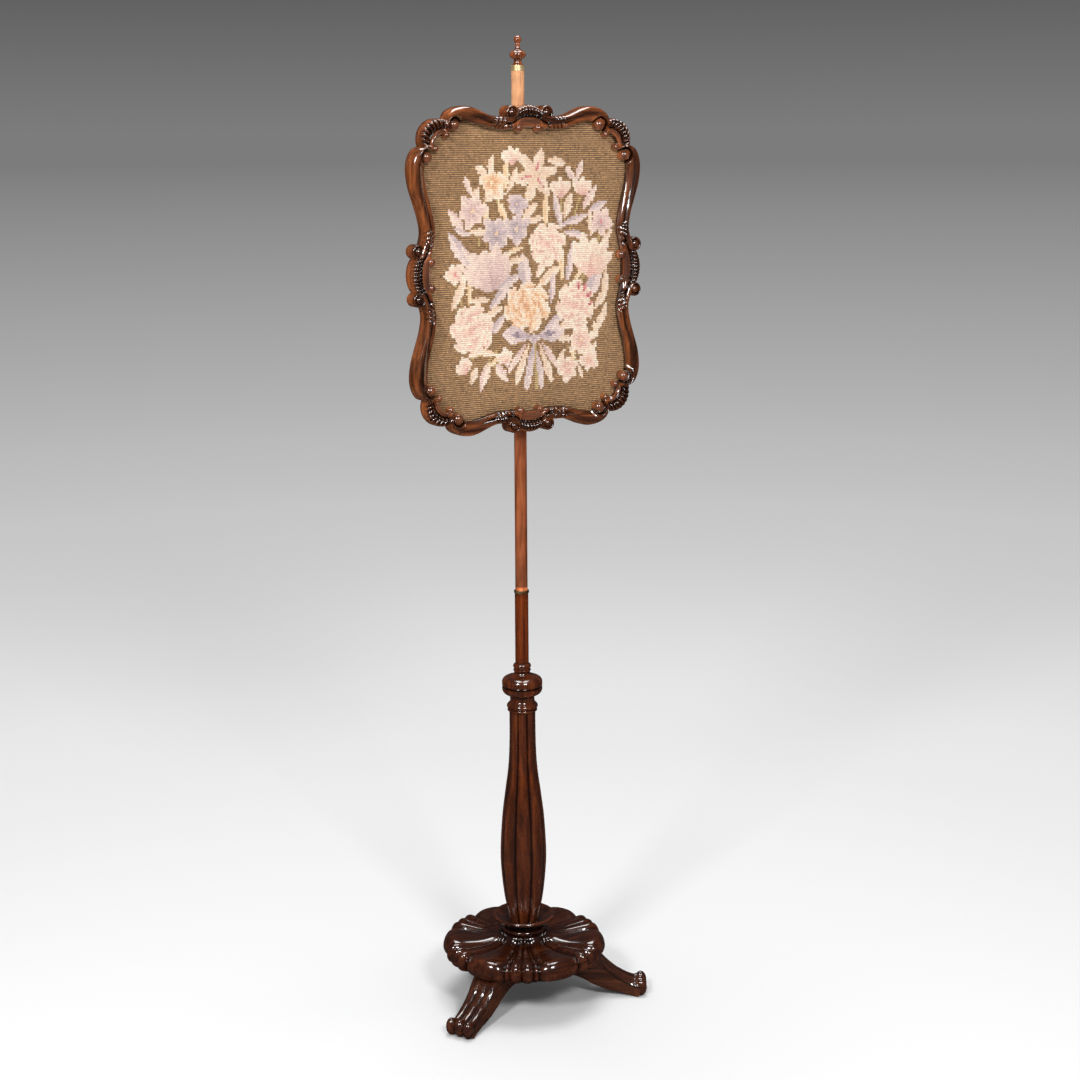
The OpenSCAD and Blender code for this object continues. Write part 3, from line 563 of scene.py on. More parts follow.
def knob(middle, reach):
    """An ellipsoid as rings round its upright axis, with painted shade low down."""
    up = np.radians(np.linspace(-87, 87, 25))[:, None]
    a = round_angles(40)[None, :]
    points = lattice(
        middle[0] + reach[0] * np.cos(up) * np.cos(a),
        middle[1] + reach[1] * np.cos(up) * np.sin(a),
        middle[2] + reach[2] * np.sin(up),
    )
    # Painted shade on the lower half
    return points, -0.35 * unit(-np.sin(up))


LEG_NAMES = {"leg_front_left": -60, "leg_front_right": 60, "leg_back": 180}
for leg_name, leg_angle in LEG_NAMES.items():
    leg_turn = leg_angle + BASE_TURN
    leg_wood = wood("mahogany of " + leg_name, LEG_TONES, 0, turn=math.radians(90 - leg_turn))
    piece(leg_name + "_carved", leg_shells(leg_turn), leg_wood, "stand", (leg_name,))


# Petal dish


def petal_fill(angle):
    """Share of the petals' height at each angle: wide petals with narrow reeds between them.

    A wide petal falls off as 1 minus the 2.4th power of the distance from its middle, all to the power 0.7.
    A reed falls off with the 2.2nd power, to a shallow groove beside a reed and to nothing beside a petal.
    """
    local = (angle - BASE_TURN + WIDE_PETAL / 2) % 60
    step = (np.round((angle - BASE_TURN + WIDE_PETAL / 2 - local) / 60) % 6).astype(int)
    x = np.abs(local / (WIDE_PETAL / 2) - 1)
    wide = unit(1 - np.minimum(x, 1) ** 2.4) ** 0.7
    gap = unit((local - WIDE_PETAL) / (60 - WIDE_PETAL))
    three = reed_fill(gap, (0, 0.34, 0.66, 1))
    four = reed_fill(gap, (0, 0.16, 0.5, 0.84, 1))
    return np.where(local <= WIDE_PETAL, wide, np.where(step == 5, four, three))


def reed_fill(gap, cuts):
    """Height of the reeds between the cuts, as a share of a petal's."""
    fill = np.zeros_like(gap)
    last = len(cuts) - 2
    for i in range(last + 1):
        q = 2 * (gap - cuts[i]) / (cuts[i + 1] - cuts[i]) - 1
        low_end = 0.0 if i == 0 else 0.2
        high_end = 0.0 if i == last else 0.2
        crest = 0.97 if cuts[i + 1] - cuts[i] > 0.2 else 0.6
        end = np.where(q < 0, low_end, high_end)
        inside = (gap >= cuts[i]) & (gap <= cuts[i + 1])
        fill = np.where(inside, crest - (crest - end) * np.abs(q) ** 2.2, fill)
    return fill


def dish_shell():
    """The dish: its section from the seat down to the hollow, over the round rim and under.

    Between petals the section sinks by the groove's depth, inwards and down.
    """
    seat_r = BEAD_R + 2
    seat, hollow = DISH_SEAT_H, DISH_HOLLOW_H

    def out(share):
        return mix(seat_r, DISH_R, share)

    keys = spline([
        (seat_r - 14, seat, 0), (seat_r - 2, seat, 0.2), (seat_r + 2, seat - 1, 0.55),
        (seat_r + 5, seat - 6, 0.75), (seat_r + 10, hollow + 2, 0.85), (out(0.22), hollow - 0.5, 0.9),
        (out(0.38), hollow - 1, 0.93), (out(0.54), hollow + 0.3, 0.96), (out(0.7), hollow + 2, 0.98),
        (out(0.82), hollow + 3.2, 1), (out(0.9), hollow + 1.8, 1), (out(0.95), hollow - 2.4, 1),
        (out(0.985), hollow - 9.6, 1), (DISH_R, hollow - 16.5, 1), (DISH_R - 1, hollow - 22, 1),
        (DISH_R - 4, hollow - 26.6, 0.95), (DISH_R - 9, hollow - 29.4, 0.8), (DISH_R - DISH_FLAT_IN, 0, 0),
        (DISH_R - 60, 0, 0),
    ], 6)
    keys[:, 1] = np.maximum(keys[:, 1], 0)
    angle = np.linspace(0, 360, 900, endpoint=False)[None, :]
    fill = petal_fill(angle)
    r, z, share = (keys[:, k][:, None] for k in range(3))
    sink = 1.25 * PETAL_GROOVE * share * (1 - fill)
    lowered = ease(z / hollow * 1.6 - 0.8)
    a = np.radians(angle - 90)
    on_rim = ease((r - out(0.6)) / (DISH_R * 0.2))
    radius = r - sink * mix(0.2, 1.0, on_rim)
    height = LEG_H + z - sink * 0.7 * lowered
    # Painted shade darkens the grooves between the petals and the hollow beside the collar; the rim is a
    # little paler
    tone = -1.1 * unit((0.6 - fill) / 0.6) ** 1.3 * unit(share * 1.5)
    tone = tone - 0.7 * bell(r, seat_r, 5) + 0.15 * on_rim
    points = lattice(radius * np.cos(a), radius * np.sin(a), height)
    return skin(points, tone)


piece("base_dish_carved", [dish_shell()], dish_wood, "stand", ("base_dish",))


# Turned collar, reeded column, knop and poles


def collar_shell():
    """Collar: a thin bead, a hollow with painted shade, and a dished flange on top whose inner face is paler
    near its rim with wear and has painted shade at its bottom.
    """
    bead_h = 7.5
    rim_h = COLLAR_SEAT_H + 11
    waist_r = BEAD_R - 8
    profile = np.concatenate([
        [(1, 0), (BEAD_R - 5, 0)],
        arc(BEAD_R - 4, bead_h / 2, 4, bead_h / 2, -80, 80, 18),
        spline([
            (BEAD_R - 4.5, bead_h + 0.4), (waist_r + 1, bead_h + 1.2), (waist_r, bead_h + 2.8),
            (waist_r + 1.5, mix(bead_h, COLLAR_SEAT_H, 0.65)),
            (mix(waist_r, COLLAR_R, 0.25), COLLAR_SEAT_H - 1),
            (COLLAR_R - 9, COLLAR_SEAT_H + 3.4), (COLLAR_R - 3, rim_h - 5.5),
        ], 6),
        arc(COLLAR_R - 3, rim_h - 3, 3, 3, -40, 90, 12),
        spline([
            (COLLAR_R - 4.5, rim_h - 0.3), (mix(NECK_R, COLLAR_R, 0.5), COLLAR_SEAT_H + 5.2),
            (NECK_R + 6, COLLAR_SEAT_H + 1), (TENON_R, COLLAR_SEAT_H),
        ], 6),
        [(1, COLLAR_SEAT_H)],
    ])
    height = profile[:, 1]
    inner_face = np.arange(len(profile)) > len(profile) - 27
    # Painted shade darkens the hollow above the bead and the bottom of the flange's inner face, which is
    # paler near its rim with wear
    tone = -1.1 * bell(height, bead_h + 3.5, 3.2) * ~inner_face
    tone = tone + 0.35 * ease((profile[:, 0] - COLLAR_R + 10) / 6) * inner_face
    tone = tone - 0.6 * ease((NECK_R + 14 - profile[:, 0]) / 8) * inner_face
    return turned(profile + [0, COLLAR_Z], tone)


def column_shell():
    """Column: a swelling outline with eight round reeds.

    From a reed's crest, its surface falls with the 5th power of the way to the next gap.
    """
    keys = spline([
        (1.006, 0.02), (0.86, 0.04), (0.74, 0.17), (0.62, 0.5), (0.5, 0.81), (0.35, 1), (0.25, 0.95),
        (0.125, 0.67), (0.03, 0.27), (-0.012, 0.1),
    ], 10)
    per_reed = 25
    angle = np.arange(REED_COUNT * per_reed) / per_reed
    x = np.abs(2 * (angle % 1) - 1)[None, :]
    fill = 1 - x ** 5
    r = mix(NECK_R, COLUMN_R, keys[:, 1])[:, None] - REED_GROOVE * 1.25 * (1 - fill) - 0.5 * x ** 2
    a = np.radians(-120 + (angle - 0.5) * 360 / REED_COUNT)[None, :]
    z = COLUMN_Z + COLUMN_H * keys[:, 0][:, None]
    points = lattice(r * np.cos(a), r * np.sin(a), z)
    # Painted shade darkens the gaps between the reeds
    return skin(points, 0.12 - 1.25 * unit((x - 0.72) / 0.28) ** 1.5)


def knop_shell():
    """Knop: a foot bead under a ring, a grooved round disc under a domed shoulder, and a small neck ring."""
    foot_h, ring_h, disc_z, groove_z = 5.2, 17, 28.5, 42.5
    shoulder_z = KNOP_H - 14.5
    neck_r = STUB_R + 3.7
    ring_r = KNOP_RING_R
    dome_top = (
        (0, 0.02), (0, 0.28), (0.03, 0.39), (0.11, 0.51), (0.27, 0.61), (0.48, 0.68), (0.7, 0.74),
        (0.88, 0.81), (0.97, 0.9), (1, 1),
    )
    profile = np.concatenate([
        [(1, 0), (ring_r - 4.5, 0)],
        arc(ring_r - 4, foot_h / 2, 3, foot_h / 2, -80, 70, 14),
        spline([
            (ring_r - 2.4, foot_h + 0.5), (ring_r - 0.3, ring_h * 0.46), (ring_r, ring_h * 0.56),
            (ring_r - 0.8, ring_h * 0.68), (ring_r - 3.2, ring_h * 0.84), (ring_r - 5.2, ring_h),
            (ring_r - 5.5, ring_h + 2), (ring_r - 5.5, disc_z),
        ], 5),
        arc(KNOP_R - 10, groove_z - 3.5, 10, groove_z - 3.5 - disc_z, -88, 0, 16),
        [(KNOP_R, groove_z - 2), (KNOP_R - 1.6, groove_z - 1.2)],
        [(KNOP_R - 2.6, groove_z), (KNOP_R - 1.4, groove_z + 1)],
        spline([(mix(KNOP_R, neck_r - 2, k), mix(groove_z + 1.5, shoulder_z, t)) for k, t in dome_top], 5),
        spline([
            (neck_r - 1.6, shoulder_z + 1), (neck_r - 0.4, shoulder_z + 2.8),
            (neck_r - 0.6, shoulder_z + 4.2), (neck_r - 2.4, shoulder_z + 5.4),
        ], 5),
        arc(neck_r - 3.7, KNOP_H - 4.4, 3.7, 4.1, -70, 75, 14),
        [(neck_r - 3.4, KNOP_H), (1, KNOP_H)],
    ])
    height = profile[:, 1]
    # Painted shade in the grooves and creases
    tone = 0.1 - 1.3 * bell(height, groove_z, 1.6) - 0.9 * bell(height, disc_z - 1, 2.2)
    tone = tone - 0.8 * bell(height, shoulder_z, 1.3) - 0.8 * bell(height, foot_h, 0.8)
    return turned(profile + [0, KNOP_Z], tone)


def finial_shell():
    """Finial: a peg, a flared foot, a flattened knob, a thin neck and a ball."""
    ball_r = FINIAL_R * 0.46
    ball_z = FINIAL_H - ball_r
    knob_z = FINIAL_H * 0.36
    knob_h = FINIAL_H * 0.17
    foot_r = POLE_R - 3.6
    profile = np.concatenate([
        [(1, -FINIAL_PEG_LEN), (FINIAL_PEG_R, -FINIAL_PEG_LEN + 0.5), (FINIAL_PEG_R, 0), (foot_r + 2, 0)],
        spline([(foot_r + 1.9, 1), (foot_r, FINIAL_H * 0.08), (foot_r * 0.94, FINIAL_H * 0.15)], 6),
        arc(0, knob_z, FINIAL_R, knob_h, -62, 62, 30),
        spline([
            (FINIAL_R * 0.42, knob_z + knob_h), (ball_r * 0.66, knob_z + knob_h + 2.5),
            (ball_r * 0.58, ball_z - ball_r),
        ], 6),
        arc(0, ball_z, ball_r, ball_r, -60, 87, 22),
    ])
    height = profile[:, 1]
    # Painted shade in the creases under and over the knob
    tone = 0.3 - 0.9 * bell(height, knob_z - knob_h, 1.5) - 0.9 * bell(height, knob_z + knob_h + 1, 1.5)
    return turned(profile + [0, FINIAL_Z], tone, 72)


def rod_shells(steps):
    """A straight turned rod through steps of radius, height and tone."""
    steps = np.asarray(steps, float)
    return [turned(steps[:, :2], steps[:, 2], 64)]


def ferrule_shell():
    """Ring of beads round the joint of the two poles: its outline waves with the angle, 36 times round."""
    a = round_angles(36 * 8)[:, None]
    across = round_angles(16)[None, :]
    bead = 0.55 + 0.45 * np.abs(np.cos(18 * a))
    middle = (FERRULE_R + STUB_R) / 2
    r = np.maximum(middle + (FERRULE_R - middle + 0.5 * bead) * np.cos(across), STUB_R + 0.02)
    z = POLE_Z - FERRULE_H / 2 + FERRULE_H / 2 * np.sin(across)
    points = lattice(r * np.cos(a), r * np.sin(a), z)
    return skin(points, -0.4, joined=True)


piece("base_collar_turned", [collar_shell()], dish_wood, "stand", ("base_collar",))
piece("column_reeded", [column_shell()], column_wood, "stand", ("column",))
piece("knop_turned", [knop_shell()], column_wood, "stand", ("knop",))
# The stub's tone paints shade where it meets the knop and the ferrule
stub_rod = [
    (1, KNOP_Z - 56, 0), (9, KNOP_Z - 56, 0), (9, STUB_Z - 1, 0), (STUB_R, STUB_Z - 1, -0.9),
    (STUB_R, STUB_Z + 3, -0.3), (STUB_R, STUB_Z + 14, 0), (STUB_R, POLE_Z - 14, 0.1), (STUB_R, POLE_Z, -0.5),
    (SPIGOT_R + 0.06, POLE_Z, 0), (SPIGOT_R + 0.06, POLE_Z - SPIGOT_LEN - 2, 0),
    (1, POLE_Z - SPIGOT_LEN - 2, 0),
]
piece("pole_stub_turned", rod_shells(stub_rod), stub_wood, "stand", ("pole_stub",))
pole_rod = [
    (1, POLE_Z - SPIGOT_LEN, 0), (SPIGOT_R, POLE_Z - SPIGOT_LEN, 0), (SPIGOT_R, POLE_Z, 0),
    (POLE_R, POLE_Z, 0.9), (POLE_R, POLE_Z + 4, 0.7), (POLE_R, POLE_Z + 7, -0.35),
    (POLE_R, POLE_Z + 38, -0.3), (POLE_R, POLE_Z + 62, 0), (POLE_R, CAP_Z, 0), (SPIGOT_R, CAP_Z, 0),
    (SPIGOT_R, FINIAL_Z, 0), (FINIAL_PEG_R + 0.06, FINIAL_Z, 0), (FINIAL_PEG_R + 0.06, FINIAL_Z - 36, 0),
    (1, FINIAL_Z - 36, 0),
]
piece("pole_ferrule_beaded", [ferrule_shell()], dark_brass, "stand", ("pole_ferrule",))
piece("pole_turned", rod_shells(pole_rod), pole_wood, "pole", ("pole",))
piece("finial_turned", [finial_shell()], finial_wood, "finial", ("finial",))


# Carved frame


# Sections of the moulding: share of the way inwards and height in mm
LOBE_SECTION = (
    (0, 16), (0.015, 19), (0.06, 22.8), (0.15, 25.6), (0.28, 27), (0.42, 26.8), (0.56, 25.2), (0.68, 23),
    (0.78, 21.2), (0.86, 20), (0.92, 19.2), (0.96, 18.4), (1, 16.4),
)
WAIST_SECTION = (
    (0, 16), (0.015, 19.2), (0.06, 22.8), (0.14, 25), (0.25, 26), (0.36, 25.2), (0.46, 22.8), (0.52, 21),
    (0.58, 22.8), (0.68, 24.6), (0.8, 24.2), (0.91, 21.4), (1, 16.4),
)
BAND_SECTION = (
    (0, 16), (0.015, 19), (0.06, 22.4), (0.14, 25), (0.24, 26), (0.34, 24.8), (0.43, 21.4), (0.5, 18.4),
    (0.57, 20.6), (0.67, 23), (0.79, 22.6), (0.91, 20.2), (1, 16.8),
)
SHELL_SECTION = (
    (0, 13), (0.015, 17), (0.05, 21.4), (0.1, 23.6), (0.2, 24.8), (0.34, 25), (0.48, 23.8), (0.56, 21),
    (0.62, 18), (0.66, 18.2), (0.73, 21.8), (0.83, 22.6), (1, 16.8),
)
# From rib to rib of a corner shell in degrees, and of ribs and gadroons at a side's middle in mm
SHELL_RIB = 14.4
BAND_RIB = 5.5
GADROON = 7.0
# Radii of the drums and balls
DRUM_R = 11
SCROLL_BALL_R = 6.6
VOLUTE_R = 8.8
CORNER_BALL_R = 5.2


def half_side(edge, lobe, drum, waist):
    """Stations of half a side, from its middle to the mitre: outer point, inner point and share of carving.

    The middle is a parabola between the drums, then an S curve out to the lobe, a quarter of an ellipse
    to the notch, and an arc of the corner shell to the mitre.
    """
    waist_at = drum + 25
    notch = polar(SHELL_R, NOTCH_TURN) + [SHELL_FROM_LOBE, -SHELL_INSET]
    scroll = polar(SCROLL_R, SCROLL_TURN) + [SHELL_FROM_LOBE, -SHELL_INSET]
    keys = []
    for t in (0, 0.3, 0.6, 1):
        out = edge + 2 - 15.5 * t * t
        into = edge - 32 - 4 * t * t
        keys.append((drum * t, out, drum * t, into, 1 - ease((t - 0.5) * 2)))
    for t in (0, 0.25, 0.5, 0.75, 1):
        at = mix(waist_at, lobe, t)
        out = edge - waist * (1 - ease(t))
        keys.append((at, out, at, out - mix(20, 24, ease(t)), 0))
    for a in (30, 60, 90):
        sine = math.sin(math.radians(a))
        rest = 1 - math.cos(math.radians(a))
        keys.append((
            lobe + notch[0] * sine, edge + notch[1] * rest,
            lobe + scroll[0] * sine, edge - 24 + (scroll[1] + 24) * rest, 0,
        ))
    moulding = spline(keys, 14)
    t = np.linspace(0, 1, 57)[1:]
    turn = np.radians(mix(NOTCH_TURN, 45, t))
    middle = np.array([lobe + SHELL_FROM_LOBE, edge - SHELL_INSET])
    start = middle + polar(SCROLL_R, SCROLL_TURN)
    end = middle + 2
    pull = end + [-7, 7]
    out = middle + SHELL_R * np.stack([np.cos(turn), np.sin(turn)], axis=1)
    inner = start * ((1 - t) ** 2)[:, None] + pull * (2 * t * (1 - t))[:, None] + end * (t ** 2)[:, None]
    shell = np.concatenate([out, inner, ease(t * 3)[:, None]], axis=1)
    return np.concatenate([moulding, shell])


def whole_side(half):
    """A whole side from mitre to mitre: the half side and its mirror image."""
    return np.concatenate([half[:0:-1] * [-1, 1, -1, 1, 1], half])


def volute_place(edge, lobe):
    """Place of the large ball at a corner, along the side and outwards."""
    return lobe + SHELL_FROM_LOBE * 0.42, edge - 28


def side_shell(edge, lobe, drum, waist):
    """A side of the frame: a section carried along the stations, cut by ribs and slanting gadroons.

    The section goes from two rolls at the waist to one broad roll at the lobe, and to ribs over a scroll
    at the middle and the corner. A rib is the 0.6th power of a cosine: round, with sharp cuts between ribs.
    """
    stations = whole_side(half_side(edge, lobe, drum, waist))
    outer, inner, carved = stations[:, 0:2], stations[:, 2:4], stations[:, 4][:, None]
    along = np.abs(outer[:, 0])[:, None]
    mirrored = outer * np.sign(outer[:, 0:1] + 1e-9) ** [1, 0]
    from_shell = mirrored - [lobe + SHELL_FROM_LOBE, edge - SHELL_INSET]
    turn = np.degrees(np.arctan2(from_shell[:, 1], from_shell[:, 0]))[:, None]
    at_shell = along > lobe + 28
    broad = ease((along - drum - 25) / (lobe - drum - 25))
    beside = ease((along - drum - 9) / 4) * (1 - ease((along - drum - 28) / 9))
    single = np.maximum(broad, 0.85 * beside)
    at_middle = np.where(at_shell, 0, carved)
    at_corner = np.where(at_shell, carved, 0)
    section = mix(spline(WAIST_SECTION, 4)[None], spline(LOBE_SECTION, 4)[None], single[:, :, None])
    section = mix(section, spline(BAND_SECTION, 4)[None], at_middle[:, :, None])
    section = mix(section, spline(SHELL_SECTION, 4)[None], at_corner[:, :, None])
    share, height = section[:, :, 0], section[:, :, 1]
    in_shell = np.where(at_shell, ease((NOTCH_TURN + 2 - turn) / 9), 0)
    in_band = 1 - ease((along - drum + 11) / 4)
    phase = np.where(at_shell, (turn - 45) / SHELL_RIB, along / BAND_RIB)
    rib = np.abs(np.cos(np.pi * phase)) ** 0.6
    ends_at = np.where(at_shell, 0.6, 0.49)
    hump = unit(np.sin(np.pi * unit((share - 0.02) / (ends_at - 0.02)))) ** 0.2
    carving = np.maximum(in_shell, in_band)
    cut = (1 - rib) * hump * carving
    slant = np.abs(np.sin(np.pi * ((along - drum) / GADROON - share * 1.3))) ** 0.6
    across = unit(np.sin(np.pi * unit((share + 0.02) / 1.02))) ** 0.4
    slanted = (1 - slant) * beside * across
    gap = bell(along, drum + 4, 3) * ease((share - 0.42) * 8)
    height = height - np.where(at_shell, 4.6, 3.6) * cut - 3.2 * slanted - 3 * gap
    groove_at = mix(mix(0.53, 0.5, at_middle), 0.635, at_corner)
    groove = bell(share, groove_at, 0.05) * (1 - 0.9 * single * (1 - at_corner))
    # Painted shade darkens the moulding's groove, the cuts between ribs and gadroons, the gap by the drum,
    # the carved band a little and the innermost edge; the outer part is paler, and painted light brightens
    # the inner slope
    tone = -1.0 * groove - 1.3 * cut - 1.0 * slanted - 0.9 * gap
    tone = tone - 0.3 * carving * ease(share * 8) * (1 - ease((share - ends_at) / 0.08))
    tone = tone - 0.5 * ease((share - 0.93) / 0.07) + 0.45 * (1 - ease(share / 0.3)) + 0.08
    tone = tone + 0.32 * bell(share, 0.76, 0.15) - 0.12 * bell(share, 0.45, 0.12)
    width = np.linalg.norm(inner - outer, axis=1)[:, None]
    place = outer[:, None, :] + (inner - outer)[:, None, :] * share[:, :, None]
    volute = volute_place(edge, lobe)
    from_volute = np.hypot(np.abs(place[:, :, 0]) - volute[0], place[:, :, 1] - volute[1])
    moat = bell(from_volute, VOLUTE_R + 1.6, 1.5)
    height = height - 5.5 * moat * (1 - at_corner)
    height = height + 1.6 * bell(from_volute, VOLUTE_R + 5.6, 2.2) * (1 - at_corner)
    inner_roll = at_corner * ease((share - 0.66) / 0.08) + at_middle * in_band * ease((share - 0.53) / 0.08)
    # The inner roll's tone greys it, a painted reflection; painted shade darkens the moat round the volute
    # and the inner slope of the lobes
    tone = tone + 1.5 * inner_roll * (1 - ease((share - 0.9) / 0.08)) - 1.2 * moat
    tone = tone - 0.15 * broad * (1 - at_corner) * ease((share - 0.62) / 0.2)
    top = np.concatenate([place, height[:, :, None]], axis=2)
    rebate = outer + (inner - outer) * (1 - LIP_W / width)

    def level(points, h):
        return np.concatenate([points, np.full((len(points), 1), h)], axis=1)[:, None, :]

    wall = [level(mix(outer, inner, 0.8 / width), 0), level(outer, 0.8), level(outer, 7), level(outer, 12.6)]
    foot = mix(inner, outer, UNDERCUT / width)
    under = [level(foot, REBATE_D + 4), level(foot, REBATE_D), level(rebate, REBATE_D), level(rebate, 0)]
    rings = np.concatenate([*wall, top, *under], axis=1)
    count = len(stations)
    # The outer walls are paler, and the lip's underside gets painted shadow
    tones = np.concatenate([np.full((count, 4), 0.72), tone, np.full((count, 4), -0.6)], axis=1)
    return rings, tones


BOSS_FOOT = REBATE_D + 0.4


def dome(centre, r, base, top, ringed=False, tone=0.0):
    """A round boss standing forwards: an upright wall, then a dome; a drum has a ball in a ring instead."""
    a = round_angles(56)[None, :]
    if not ringed:
        crown = min(r, top - base - 0.5)
        up = np.radians(np.linspace(0, 86, 16))
        radius = np.concatenate([[r, r], r * np.cos(up)])[:, None]
        level = np.concatenate([[base, top - crown - 0.2], top - crown + crown * np.sin(up)])[:, None]
        # Painted shade darkens the foot of the ball
        tones = tone - 0.5 * ease((top - crown + 1.5 - level) / 1.5)
    else:
        out = np.linspace(1, 0.03, 44)
        radius = np.concatenate([[r, r], r * out])[:, None]
        roll = np.sqrt(unit(1 - ((out - 0.81) / 0.19) ** 2))
        ball = np.sqrt(unit(1 - (out / 0.6) ** 2))
        swell = top - 5 + np.where(out > 0.61, 3.2 * roll, 5.4 * ball)
        groove = np.concatenate([[0, 0], bell(out, 0.61, 0.05)])[:, None]
        level = np.concatenate([[base, top - 5.5], swell])[:, None] - 1.2 * groove
        # The drum's wall is paler, and painted shade darkens the groove round the ball
        wall = np.concatenate([[0.55, 0.4], np.full(len(out), tone)])[:, None]
        tones = wall - 1.1 * groove
    return lattice(centre[0] + radius * np.cos(a), centre[1] + radius * np.sin(a), level), tones


def side_parts(edge, lobe, drum, waist, ball_at):
    """Everything carved on one side, laid out along the side, outwards and forwards."""
    parts = [side_shell(edge, lobe, drum, waist)]
    balls = (
        (ball_at, edge - 33, SCROLL_BALL_R, WALL_H + 7.6),
        (*volute_place(edge, lobe), VOLUTE_R, RIDGE_H - 1),
        (lobe + SHELL_FROM_LOBE - 13.5, edge - SHELL_INSET + 6, CORNER_BALL_R, WALL_H + 5.6),
    )
    for side in (-1, 1):
        parts.append(dome((side * drum, edge - 10), DRUM_R, 0.5, RIDGE_H - 0.5, ringed=True))
        for along, out, r, top in balls:
            # The balls' tone greys them: a painted reflection
            parts.append(dome((side * along, out), r, BOSS_FOOT, top, tone=GREY_SHEEN_TONE))
    return parts


def quarter_turn(along, out, quarter):
    """Place in the screen's plane of points on a side, which is turned by quarter turns."""
    return ((along, out), (out, -along), (-along, -out), (-out, along))[quarter]


def upright(points, quarter):
    """Turns a side's own layout by quarter turns and stands it up in front of the pole."""
    x, z = quarter_turn(points[..., 0], points[..., 1], quarter)
    return np.stack([x, -(FRAME_BACK + points[..., 2]), SCREEN_Z + z], axis=-1)


RAIL = (RAIL_EDGE, STILE_EDGE - LOBE_INSET, RAIL_DRUM, 15)
STILE = (STILE_EDGE, RAIL_EDGE - LOBE_INSET, STILE_DRUM, 21)
rail_parts = side_parts(*RAIL, 17.5)
stile_parts = side_parts(*STILE, 19.5)
FRAME_SIDES = (
    ("frame_top_rail", rail_parts, along_x), ("frame_right_stile", stile_parts, along_z),
    ("frame_bottom_rail", rail_parts, along_x), ("frame_left_stile", stile_parts, along_z),
)
for quarter, (side_name, parts, side_wood) in enumerate(FRAME_SIDES):
    shells = [skin(upright(points, quarter), tones) for points, tones in parts]
    piece(side_name + "_carved", shells, side_wood, "screen", (side_name,))


# Needlework: a bouquet worked out stitch by stitch on the canvas grid


STITCH = 3.2
GROUND = (0.405, 0.229, 0.108)
MOSS = (0.6, 0.42, 0.19)
# Wools of a flower, from the palest to the deepest
CREAM = ((0.97, 0.76, 0.59), (0.91, 0.67, 0.49), (0.81, 0.53, 0.36))
YELLOW = ((0.97, 0.75, 0.52), (0.9, 0.63, 0.38), (0.72, 0.46, 0.25))
GOLD = ((1.0, 0.81, 0.66), (0.98, 0.72, 0.52), (0.93, 0.6, 0.38), (0.8, 0.44, 0.25))
PINK = ((1.0, 0.81, 0.65), (0.98, 0.75, 0.595), (0.94, 0.66, 0.525), (0.84, 0.51, 0.42))
BLUSH = ((0.97, 0.75, 0.62), (0.91, 0.68, 0.575), (0.82, 0.59, 0.52), (0.7, 0.48, 0.44))
LILAC = ((0.89, 0.7, 0.62), (0.77, 0.6, 0.555), (0.66, 0.51, 0.5), (0.55, 0.42, 0.425))
RED = ((0.9, 0.55, 0.48), (0.74, 0.28, 0.26), (0.6, 0.15, 0.15))
# Place of the bouquet to the right of the middle, in mm, and its width as a share of the drawing
BOUQUET_SHIFT = 5.6
BOUQUET_WIDTH = 0.95


